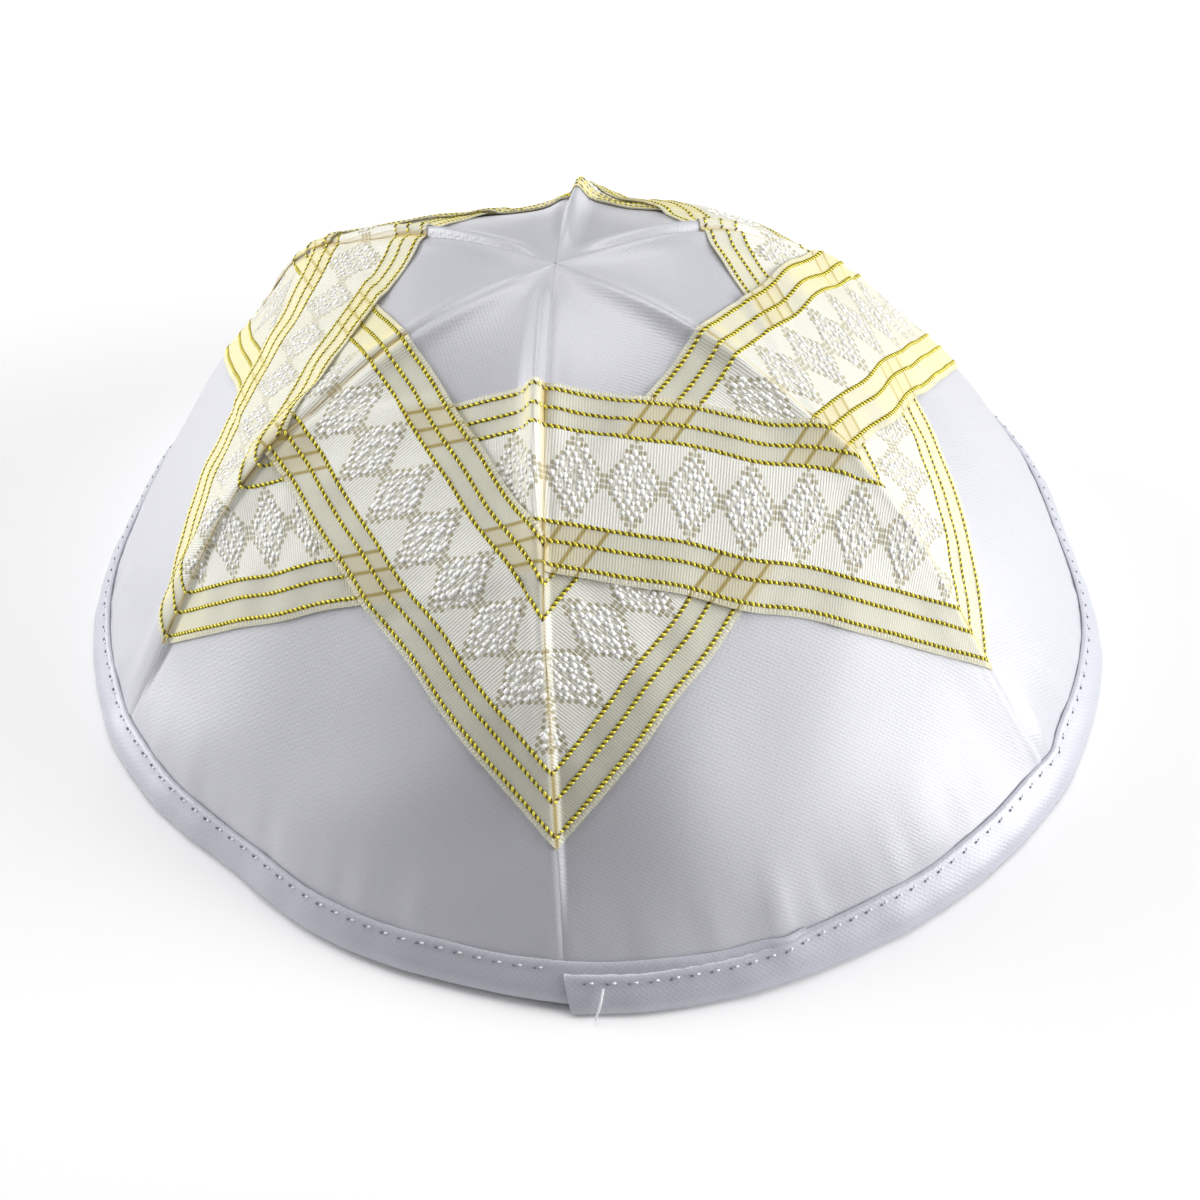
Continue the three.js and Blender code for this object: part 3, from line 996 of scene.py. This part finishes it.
@dataclass(frozen=True)
class RibbonLayout:
    """The brocade ribbon's width, its gold lines and the middle of each, from its crown-side edge."""

    width: float = 29.3
    gold_lines: tuple[float, ...] = (1.0, 4.1, 7.0, 21.7, 24.6, 28.1)
    rope_step: float = 0.46
    comb_step: float = 0.62
    motif_pitch: float = 8.7
    cell_along: float = 0.67
    cell_across: float = 0.86
    run_length: float = 0.0

    @property
    def middle(self) -> float:
        """The middle of the ribbed band, from the crown-side edge."""
        return (self.gold_lines[2] + self.gold_lines[3]) / 2


# A quarter of the woven motif, from its middle outwards: '#' is a white float, '.' is bare ground.
MOTIF_QUARTER = (
    "..##.#.",
    ".##.#..",
    ".#.##..",
    "##.#...",
    "#.#....",
    ".##....",
    "#......",
)


@dataclass
class RibbonRun:
    """A straight run of ribbon on the flat pattern, between places on a panel's two seams."""

    left_arc: float
    right_arc: float
    layout: RibbonLayout

    def __post_init__(self) -> None:
        """Find the run's start, end and directions on the pattern."""
        start = WALL.seam.share_at_arc(self.left_arc)
        end = WALL.seam.share_at_arc(self.right_arc)
        self.start = PATTERN.flatten(np.array(start), np.array(-1.0))
        self.end = PATTERN.flatten(np.array(end), np.array(1.0))
        self.length = float(np.linalg.norm(self.end - self.start))
        self.along = (self.end - self.start) / self.length
        self.down = np.array([-self.along[1], self.along[0]])

    def flat_at(self, along: np.ndarray, across: np.ndarray) -> np.ndarray:
        """Return flat places, with `across` counted from the ribbon's crown-side edge."""
        down = np.asarray(across, float) - self.layout.width / 2
        return (self.start + np.asarray(along, float)[..., None] * self.along
                + down[..., None] * self.down)

    def seam_cuts(self, across: np.ndarray, gap: float) -> tuple[np.ndarray, np.ndarray]:
        """Find where lines along the ribbon meet the left and right seams.

        Args:
            across: Each line's distance from the crown-side edge.
            gap: Millimetres to stay clear of the seam.

        Returns:
            Where each line starts and ends along the run.
        """
        cuts = []
        for direction in (-1, 1):
            inside = np.full(len(across), self.length / 2)
            outside = inside + direction * self.length
            for _ in range(BISECTIONS):
                along = (inside + outside) / 2
                share, side = PATTERN.fold(self.flat_at(along, across))
                fits = (1 - np.abs(side)) * PATTERN.width_at(share) > gap
                inside = np.where(fits, along, inside)
                outside = np.where(fits, outside, along)
            cuts.append(inside)
        return cuts[0], cuts[1]

    def across_from(self, other: "RibbonRun") -> tuple[float, float, float]:
        """Find how the place across this run follows from the place on another run.

        Args:
            other: The run whose places are known.

        Returns:
            The growth along the other run, the growth across it, and the value at its start.
        """
        along = float(other.along @ self.down)
        across = float(other.down @ self.down)
        half = self.layout.width / 2
        return along, across, float((other.start - self.start) @ self.down) + half - half * across

    def outside(self, flat: np.ndarray) -> np.ndarray:
        """Return how far flat places lie outside the run's edges."""
        return np.abs((flat - self.start) @ self.down) - self.layout.width / 2


@dataclass
class BrocadeRibbon:
    """One ribbon piece of a panel: its ground, gold lines, woven motifs and edge combs."""

    number: int
    layer: Layer
    run: RibbonRun
    below: RibbonRun | None
    finishes: dict[str, bpy.types.Material]
    cloth: float = 0.22
    clearance: float = 0.07
    rope_height: float = 0.3
    ply_sizes: tuple[tuple[float, float, float], ...] = ((1.02, 0.5, 0.28), (0.96, 0.42, 0.25))
    climb: float = 2.6
    stack_slack: float = 0.1
    lines_sunk: float = 0.6
    mark_lift: float = 0.02
    ply_angle: float = math.radians(-44)
    across_angle: float = math.radians(90)
    gold_inset: float = 0.12
    comb_inset: float = 0.3
    float_inset: float = 0.4
    float_scatter: float = 0.14
    sway_reach: float = 0.5
    pucker_height: float = 0.2
    float_size: tuple[float, float, float] = (1.06, 0.8, 0.24)
    comb_size: tuple[float, float, float] = (1.25, 0.34, 0.26)
    across_lines: int = 34
    along_stops: int = 92

    @property
    def title(self) -> str:
        """The layer and place, as the CAD node names them."""
        return f"{self.layer.value}_{PLACES[self.number]}"

    @property
    def order(self) -> int:
        """The ribbon's number, counted around the cap with both layers of each panel."""
        return 2 * self.number + (self.layer is Layer.OVER)

    def surface(self, flat: np.ndarray, height: np.ndarray | float) -> np.ndarray:
        """Find points over the satin.

        Args:
            flat: Places on the flat pattern.
            height: Millimetres above the ribbon's underside.

        Returns:
            Points in millimetres.
        """
        flat = flat + self.sway(flat)[..., None] * self.run.down
        share, side = PATTERN.fold(flat)
        lift = WALL.relief(self.number, share, side) + self.clearance + height + self.pucker(flat)
        if self.below is not None:
            stack = self.cloth + self.rope_height * self.lines_sunk + self.clearance + self.stack_slack
            lift = lift + stack * (1 - smoothstep(0.4, self.climb, self.below.outside(flat)))
        return WALL.settle(WALL.bare(share, side, lift), self.number)

    def sway(self, flat: np.ndarray) -> np.ndarray:
        """Return how far the ribbon strays sideways between its two seams."""
        along = (flat - self.run.start) @ self.run.along
        inside = np.sin(np.pi * np.clip(along / self.run.length, 0.0, 1.0))
        seed = SWAY_SEED + self.order
        return self.sway_reach * inside * ripple(along, (33.0, 19.0), seed)

    def pucker(self, flat: np.ndarray) -> np.ndarray:
        """Return how far the ribbon stands off the satin, as sewn ribbon puckers."""
        along = (flat - self.run.start) @ self.run.along
        across = (flat - self.run.start) @ self.run.down
        seed = PUCKER_SEED + self.order
        swell = ripple(along + 0.35 * across, (9.0, 14.0), seed) * ripple(across, (23.0,), seed + 50)
        return self.pucker_height * (1.0 + swell)

    def ground(self) -> bpy.types.Object:
        layout = self.run.layout
        across = np.linspace(0.0, layout.width, self.across_lines)
        start, end = self.run.seam_cuts(across, SEAM_GAP)
        along = spread(seam_stops(self.along_stops), start, end)
        wide = np.repeat(across[:, None], along.shape[1], 1)
        flat = self.run.flat_at(along, wide)
        outer = self.surface(flat, self.cloth)
        inner = self.surface(flat, 0.0)
        vertices, faces = closed_sheet(outer, inner)
        own = np.stack([along, wide], -1).reshape(-1, 2)
        piece = make_piece(f"brocade_{self.title}", vertices, faces,
                           self.finishes[f"ground_{self.layer.value}"], own)
        from_seam = np.minimum(along - start[:, None], end[:, None] - along).ravel()
        distances = piece.data.attributes.new("seam_distance", "FLOAT", "POINT")
        distances.data.foreach_set("value", np.concatenate([from_seam, from_seam]))
        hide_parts(f"ribbon_{self.title}")
        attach(piece, "root")
        return piece

    def marks(self, name: str, finish: str, along: np.ndarray, across: np.ndarray, height: float,
              slant: float, size: tuple[float, float, float], seed: int,
              unevenness: float = 0.1) -> bpy.types.Object:
        """Set thread marks on the ribbon.

        Args:
            name: The piece's name.
            finish: Name of the finish.
            along: Places along the run.
            across: Places from the crown-side edge.
            height: Height of each mark's centre above the ribbon's underside.
            slant: Angle of the marks from the ribbon's length, in radians.
            size: Length, width and height of a mark.
            seed: Seed of their unevenness.
            unevenness: How much their sizes vary, as a share.

        Returns:
            The piece.
        """
        flat = self.run.flat_at(along, across)
        step = 0.08
        centre = self.surface(flat, height)
        ahead = self.surface(flat + step * self.run.along, height) - centre
        aside = self.surface(flat + step * self.run.down, height) - centre
        outward = unit(np.cross(aside, ahead))
        ahead = unit(ahead)
        sideways = np.cross(outward, ahead)
        tilted = ahead * math.cos(slant) + sideways * math.sin(slant)
        marks = ThreadMarks(name, self.finishes[finish], centre, tilted, outward, *size,
                            unevenness, seed)
        piece = marks.build()
        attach(piece, "root")
        return piece

    def gold_lines(self) -> list[bpy.types.Object]:
        """Make both plies of the six twisted gold lines; the dark ply is painted shade."""
        layout = self.run.layout
        start, end = self.run.seam_cuts(np.array(layout.gold_lines), self.gold_inset)
        pieces = []
        for turn, ply in enumerate(Ply):
            along, across = rows_of_marks(np.array(layout.gold_lines), start + turn * layout.rope_step, end,
                                          2 * layout.rope_step)
            pieces.append(self.marks(
                f"gold_{ply.value}_{self.title}", f"gold_{ply.value}", along, across,
                self.cloth + self.mark_lift, self.ply_angle, self.ply_sizes[turn], 11 + turn))
        return pieces

    def motifs(self) -> bpy.types.Object:
        """Make the woven motifs as white floats, charted and mirrored twice."""
        layout = self.run.layout
        middle = layout.middle
        tall, long = len(MOTIF_QUARTER) - 1, len(MOTIF_QUARTER[0]) - 1
        cells = [(x, y) for x in range(-long, long + 1) for y in range(-tall, tall + 1)
                 if MOTIF_QUARTER[abs(y)][abs(x)] == "#"]
        low, high = self.run.seam_cuts(np.array([0.0, middle, layout.width]), 0.6)
        first = math.floor((low.min() - self.run.length / 2) / layout.motif_pitch)
        last = math.ceil((high.max() - self.run.length / 2) / layout.motif_pitch)
        along, across = [], []
        for repeat in range(first, last + 1):
            centre = self.run.length / 2 + repeat * layout.motif_pitch
            for x, y in cells:
                along.append(centre + x * layout.cell_along)
                across.append(middle + y * layout.cell_across)
        places = np.stack([np.array(along), np.array(across)], -1)
        scatter = np.random.RandomState(FLOAT_SCATTER_SEED + self.number)
        places += scatter.uniform(-self.float_scatter, self.float_scatter, places.shape)
        share, side = PATTERN.fold(self.run.flat_at(places[:, 0], places[:, 1]))
        kept = places[(1 - np.abs(side)) * PATTERN.width_at(share) > self.float_inset]
        return self.marks(f"floats_{self.title}", "float", kept[:, 0], kept[:, 1],
                          self.cloth + self.mark_lift, self.across_angle, self.float_size, 21, 0.3)

    def combs(self) -> bpy.types.Object:
        """Make the short white threads along both edges."""
        layout = self.run.layout
        edges = np.array([0.42, layout.width - 0.5])
        start, end = self.run.seam_cuts(edges, self.comb_inset)
        along, across = rows_of_marks(edges, start, end, layout.comb_step)
        return self.marks(f"edge_comb_{self.title}", "comb", along, across, self.cloth * 0.6,
                          self.across_angle, self.comb_size, 31)

    def build(self) -> list[bpy.types.Object]:
        """Make every piece of the ribbon."""
        return [self.ground(), *self.gold_lines(), self.motifs(), self.combs()]


@dataclass
class RimBinding:
    """The bias strip folded over the hem, stitched and lapped just right of the front seam."""

    finishes: dict[str, bpy.types.Material]
    cloth: float = 0.4
    lap_start: float = 0.3
    end_slant: float = 0.6
    lap_length: float = 24.0
    lap_lift: float = 0.75
    stitch_pitch: float = 3.05
    stitch_height: float = 5.4
    columns: int = 460
    lap_squeeze: float = 0.16
    lap_tuck: float = 0.35
    start_lift: float = 0.8
    end_reach: float = 4.0
    first_stitch: float = 2.3
    last_stitch: float = 359.0
    outer_height: float = 6.0
    stitch_dip: float = 0.7
    stitch_puff: float = 0.13
    belly_waves: tuple[float, ...] = (9.0, 14.3, 23.0)
    belly_height: float = 0.2
    edge_waves: tuple[float, ...] = (17.0, 31.0)
    edge_height: float = 0.14
    stitch_size: tuple[float, float, float] = (0.7, 0.4, 0.32)
    hole_shade_size: tuple[float, float, float] = (0.64, 0.44, 0.22)
    fold: tuple[tuple[float, float], ...] = (
        (5.5, -0.02), (6.0, 0.02), (6.25, 0.3), (6.0, 0.56), (5.35, 0.54), (4.8, 0.66), (4.3, 0.78),
        (3.5, 1.0), (2.4, 1.15), (1.3, 1.05), (0.55, 0.7), (0.22, 0.15), (0.2, -0.6), (0.4, -1.25),
        (1.1, -1.7), (2.2, -1.9), (3.5, -1.8), (4.4, -1.55), (4.9, -1.4), (5.5, -1.45), (5.95, -1.3),
        (5.9, -1.1))

    def strip(self, angle: np.ndarray, height: np.ndarray, out: np.ndarray) -> np.ndarray:
        """Find points beside the satin near the rim.

        Args:
            angle: Degrees around from the front seam, past 360 where the strip laps itself.
            height: Height above the floor.
            out: Horizontal millimetres out from the satin's outer face.

        Returns:
            Points in millimetres.
        """
        around = (angle % 360.0) / 60.0
        panel = np.floor(around)
        side = 2 * (around - panel) - 1
        share = WALL.seam.share_at_height(np.clip(height, 0.0, 20.0))
        points = WALL.bare(share, side, 0.0)
        level = np.hypot(points[..., 0], points[..., 1])
        grown = (level + out) / level
        points = np.stack([points[..., 0] * grown, points[..., 1] * grown, height], -1)
        settled = np.zeros_like(points)
        for number in range(PANEL_COUNT):
            here = panel == number
            settled[here] = WALL.settle(points[here], number)
        return settled

    def lapped(self, angle: np.ndarray) -> np.ndarray:
        """Return how fully the strip lies over its own start, from 1 at its free end to 0."""
        past = angle - self.lap_start
        return 1 - smoothstep(self.lap_length * 0.55, self.lap_length * 1.25, past)

    def lifted(self, angle: np.ndarray) -> np.ndarray:
        """Return how far the strip below the lap is raised off the floor."""
        from_end = np.abs(angle - 360.0 - self.lap_start)
        return self.start_lift * (1 - smoothstep(4.0, 34.0, from_end))

    def swept(self, angle: np.ndarray, height: np.ndarray, out: np.ndarray) -> np.ndarray:
        """Sweep a folded section around the rim, with its ripples, stitches and lap.

        Args:
            angle: Degrees around, indexed by column.
            height: The section's heights, indexed by row.
            out: The section's distances out from the satin, indexed by row.

        Returns:
            Points indexed by row and column.
        """
        turns, heights = np.meshgrid(angle, height)
        near_end = hill(turns, self.lap_start, self.end_reach)
        turns = turns - self.end_slant * (heights / self.outer_height - 0.5) * near_end
        outs = np.meshgrid(angle, out)[1]
        arc = np.radians(turns) * RIM_RADIUS
        lap, lift = self.lapped(turns), self.lifted(turns)
        squeeze = 1 - lift / 7.0 - self.lap_squeeze * lap
        outside = smoothstep(-0.4, 0.5, outs)
        dip = hill(heights, self.stitch_height, self.stitch_dip)
        puff = self.stitch_puff * np.cos(math.tau * arc / self.stitch_pitch) * dip
        belly = np.sin(np.pi * np.clip(heights / self.outer_height, 0.0, 1.0))
        waves = self.belly_height * ripple(arc, self.belly_waves, BELLY_SEED) * belly
        edge = smoothstep(4.0, self.outer_height, heights)
        top = self.edge_height * ripple(arc, self.edge_waves, EDGE_SEED) * edge
        moved = outs + (puff + waves) * (2 * outside - 1) + outside * lap * self.lap_lift
        moved = moved - (1 - outside) * lap * self.lap_tuck
        raised = self.cloth / 2 + (heights - self.cloth / 2) * squeeze + lift + top
        return self.strip(turns, raised, moved)

    def band(self) -> bpy.types.Object:
        section = np.array(self.fold)
        lengths = np.concatenate([[0.0], np.cumsum(np.linalg.norm(np.diff(section, axis=0), axis=1))])
        even = np.linspace(0.0, lengths[-1], 40)
        middle = np.stack([np.interp(even, lengths, section[:, axis]) for axis in (0, 1)], -1)
        for _ in range(2):
            middle[1:-1] = (middle[:-2] + 2 * middle[1:-1] + middle[2:]) / 4
        tangent = unit(np.gradient(middle, axis=0))
        normal = np.stack([tangent[:, 1], -tangent[:, 0]], -1)
        angle = np.linspace(self.lap_start, self.lap_start + 360.0 + self.lap_length, self.columns)
        skins = [self.swept(angle, *(middle + sign * normal * self.cloth / 2).T) for sign in (1, -1)]
        vertices, faces = closed_sheet(*skins)
        arc = np.radians(angle) * RIM_RADIUS
        flat = np.stack(np.meshgrid(arc, even), -1).reshape(-1, 2)
        piece = make_piece("binding_strip", vertices, faces, self.finishes["bias"], flat)
        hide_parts("rim_binding")
        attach(piece, "root")
        return piece

    def thread_row(self, name: str, finish: str, shift: float, out: float,
                   size: tuple[float, float, float]) -> bpy.types.Object:
        """Make one mark for each stitch around the strip.

        Args:
            name: The piece's name.
            finish: Name of the finish.
            shift: Share of a stitch by which the marks are moved along.
            out: Millimetres out from the satin.
            size: Length, width and height of a mark.

        Returns:
            The piece.
        """
        pitch = math.degrees(self.stitch_pitch / RIM_RADIUS)
        first = self.lap_start + self.first_stitch + shift * pitch
        angle = np.arange(first, self.lap_start + self.last_stitch, pitch)
        height = np.array([self.stitch_height])
        centre = self.swept(angle, height, np.array([out]))[0]
        ahead = self.swept(angle + 0.1, height, np.array([out]))[0] - centre
        upward = self.swept(angle, height + 0.1, np.array([out]))[0] - centre
        ahead = unit(ahead)
        outward = unit(np.cross(ahead, upward))
        piece = ThreadMarks(name, self.finishes[finish], centre, ahead, outward, *size, seed=5).build()
        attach(piece, "root")
        return piece

    def loose_end(self) -> bpy.types.Object:
        """Make the bare thread end that hangs from the first stitch."""
        drop = np.linspace(0.0, 1.0, 12)
        angle = self.lap_start + 3.3 - 1.2 * drop
        height = self.stitch_height - 4.7 * drop
        out = 1.75 + 0.9 * np.sin(np.pi * np.minimum(drop * 1.2, 1.0)) + 0.5 * drop
        line = np.array([self.swept(np.array([a]), np.array([h]), np.array([o]))[0, 0]
                         for a, h, o in zip(angle, height, out)])
        return self.thread("loose_thread_end", line, 0.17)

    def thread(self, name: str, line: np.ndarray, radius: float) -> bpy.types.Object:
        """Make a thread along a line, closed at both ends.

        Args:
            name: The piece's name.
            line: Points in millimetres.
            radius: The thread's radius.

        Returns:
            The piece.
        """
        sides = 8
        tangent = unit(np.gradient(line, axis=0))
        first = unit(np.cross(tangent, (0.0, 0.0, 1.0) + np.zeros_like(tangent)))
        second = np.cross(tangent, first)
        turns = np.arange(sides) * math.tau / sides
        rings = (line[:, None] + radius * (np.cos(turns)[None, :, None] * first[:, None]
                                           + np.sin(turns)[None, :, None] * second[:, None]))
        faces = [(row * sides + k, row * sides + (k + 1) % sides,
                  (row + 1) * sides + (k + 1) % sides, (row + 1) * sides + k)
                 for row in range(len(line) - 1) for k in range(sides)]
        faces += [tuple(range(sides))[::-1], tuple(range((len(line) - 1) * sides, len(line) * sides))]
        piece = make_piece(name, rings.reshape(-1, 3) * MM, faces, self.finishes["sewing"])
        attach(piece, "root")
        return piece

    def build(self) -> list[bpy.types.Object]:
        """Make the strip, its stitches, the painted shade of its needle holes, and its loose thread end."""
        return [self.band(),
                self.thread_row("binding_stitches", "sewing", 0.0, 0.86, self.stitch_size),
                self.thread_row("binding_needle_hole_shade", "hole", -0.28, 0.8, self.hole_shade_size),
                self.loose_end()]


@dataclass(frozen=True)
class Lamp:
    """A square soft light that faces the cap: its place and side in metres, its power in watts."""

    name: str
    place: tuple[float, float, float]
    size: float
    power: float

    def build(self) -> None:
        """Add the light to the scene."""
        data = bpy.data.lights.new(self.name, "AREA")
        data.size = self.size
        data.energy = self.power
        lamp = linked(self.name, data)
        lamp.location = self.place
        lamp.rotation_euler = (-Vector(self.place)).to_track_quat("-Z", "Y").to_euler()


@dataclass
class Studio:
    """Floor, light and the camera at the photograph's angle."""

    camera_distance: float = 0.354
    elevation: float = math.radians(44.6)
    yaw: float = math.radians(-2.2)
    roll: float = math.radians(-1.3)
    focal_pixels: float = 1952.0
    image_pixels: float = 1200.0
    axis_above_centre: float = 21.0
    sensor: float = 36.0
    room_light: float = 0.03
    floor_colour: Colour = (0.97, 0.97, 0.975, 1.0)
    floor_half: float = 3.0
    lamps: tuple[Lamp, ...] = (
        Lamp("right_panel", (0.9, -0.03, 0.28), 0.6, 8.3),
        Lamp("front_right_panel", (0.85, -0.35, 0.35), 0.6, 1.6),
        Lamp("left_panel", (-0.9, 0.12, 0.28), 0.6, 7.2),
        Lamp("front_left_panel", (-0.8, -0.4, 0.3), 0.6, 0.7),
        Lamp("top_panel", (0.0, 0.38, 1.0), 0.8, 7.5))

    def camera(self) -> None:
        """Place the camera."""
        sin_e, cos_e = math.sin(self.elevation), math.cos(self.elevation)
        sin_y, cos_y = math.sin(self.yaw), math.cos(self.yaw)
        right = Vector((cos_y, -sin_y, 0.0))
        ahead = Vector((sin_y * cos_e, cos_y * cos_e, -sin_e))
        up = Vector((sin_y * sin_e, cos_y * sin_e, cos_e))
        turned_right = right * math.cos(self.roll) - up * math.sin(self.roll)
        turned_up = right * math.sin(self.roll) + up * math.cos(self.roll)
        data = bpy.data.cameras.new("camera")
        data.sensor_width = self.sensor
        data.lens = self.sensor * self.focal_pixels / self.image_pixels
        data.shift_y = -self.axis_above_centre / self.image_pixels
        data.clip_start = 0.01
        camera = linked("camera", data)
        axes = Matrix((turned_right, turned_up, -ahead)).transposed().to_4x4()
        camera.matrix_world = Matrix.Translation(-ahead * self.camera_distance) @ axes
        bpy.context.scene.camera = camera

    def floor(self) -> None:
        """Make the plain pale floor."""
        half = self.floor_half
        material, _, shader = new_material("floor_pale", 0.8, Specular_IOR_Level=0.1)
        shader.inputs["Base Color"].default_value = self.floor_colour
        mesh = bpy.data.meshes.new("floor")
        mesh.from_pydata([(-half, -half, 0.0), (half, -half, 0.0), (half, half, 0.0), (-half, half, 0.0)],
                         [], [(0, 1, 2, 3)])
        mesh.materials.append(material)
        linked("floor", mesh)

    def light(self) -> None:
        """Light the cap from both sides, more strongly from the right."""
        world = bpy.data.worlds.new("studio")
        world.use_nodes = True
        nodes = NodeTree(world.node_tree)
        seen = nodes.add("ShaderNodeLightPath").outputs["Is Camera Ray"]
        backdrop = world.node_tree.nodes["Background"]
        backdrop.inputs["Color"].default_value = (1.0, 1.0, 1.0, 1.0)
        strength = nodes.math("MULTIPLY_ADD", seen, 1.0 - self.room_light, self.room_light)
        nodes.feed(backdrop.inputs["Strength"], strength)
        bpy.context.scene.world = world
        for lamp in self.lamps:
            lamp.build()
        bpy.context.scene.view_settings.view_transform = "Standard"

    def build(self) -> None:
        """Make the whole studio."""
        self.camera()
        self.floor()
        self.light()


def main() -> None:
    """Build the cap, piece by piece, and its studio."""
    logging.basicConfig(level=logging.INFO, format="%(message)s")
    Studio().build()
    layout = RibbonLayout()
    under = RibbonRun(TIP_ARC, HALFWAY_ARC, layout)
    over = RibbonRun(HALFWAY_ARC, TIP_ARC, layout)
    woven = replace(layout, run_length=under.length)
    satin = SatinFinish().material()
    finishes = {
        # The binding's satin is a darker, bluer copy of the panels' satin: painted shade for the binding's
        # front and down-facing fold.
        "bias": SatinFinish("satin_bias_shaded", (0.545, 0.56, 0.622, 1.0), (0.47, 0.484, 0.548, 1.0)).material(),
        "ground_under": BrocadeFinish().material(woven),
        "ground_over": BrocadeFinish("brocade_ground_over").material(woven, under.across_from(over)),
        "gold_bright": GOLD_BRIGHT.material(),
        "gold_dark": GOLD_SHADED_PLY.material(),
        "float": WHITE_FLOAT.material(),
        "comb": EDGE_COMB.material(),
        "sewing": SEWING_THREAD.material(),
        # hole: the painted shade of the needle holes.
        "hole": NEEDLE_HOLE_SHADE.material(),
    }
    for number, place in enumerate(PLACES):
        SatinPanel(number, satin).build()
        pieces = BrocadeRibbon(number, Layer.UNDER, under, None, finishes).build()
        pieces += BrocadeRibbon(number, Layer.OVER, over, under, finishes).build()
        log.info("panel %s: %d ribbon pieces", place, len(pieces))
    for piece in RimBinding(finishes).build():
        log.info("%s: %d faces", piece.name, len(piece.data.polygons))


if __name__ == "__main__":
    main()
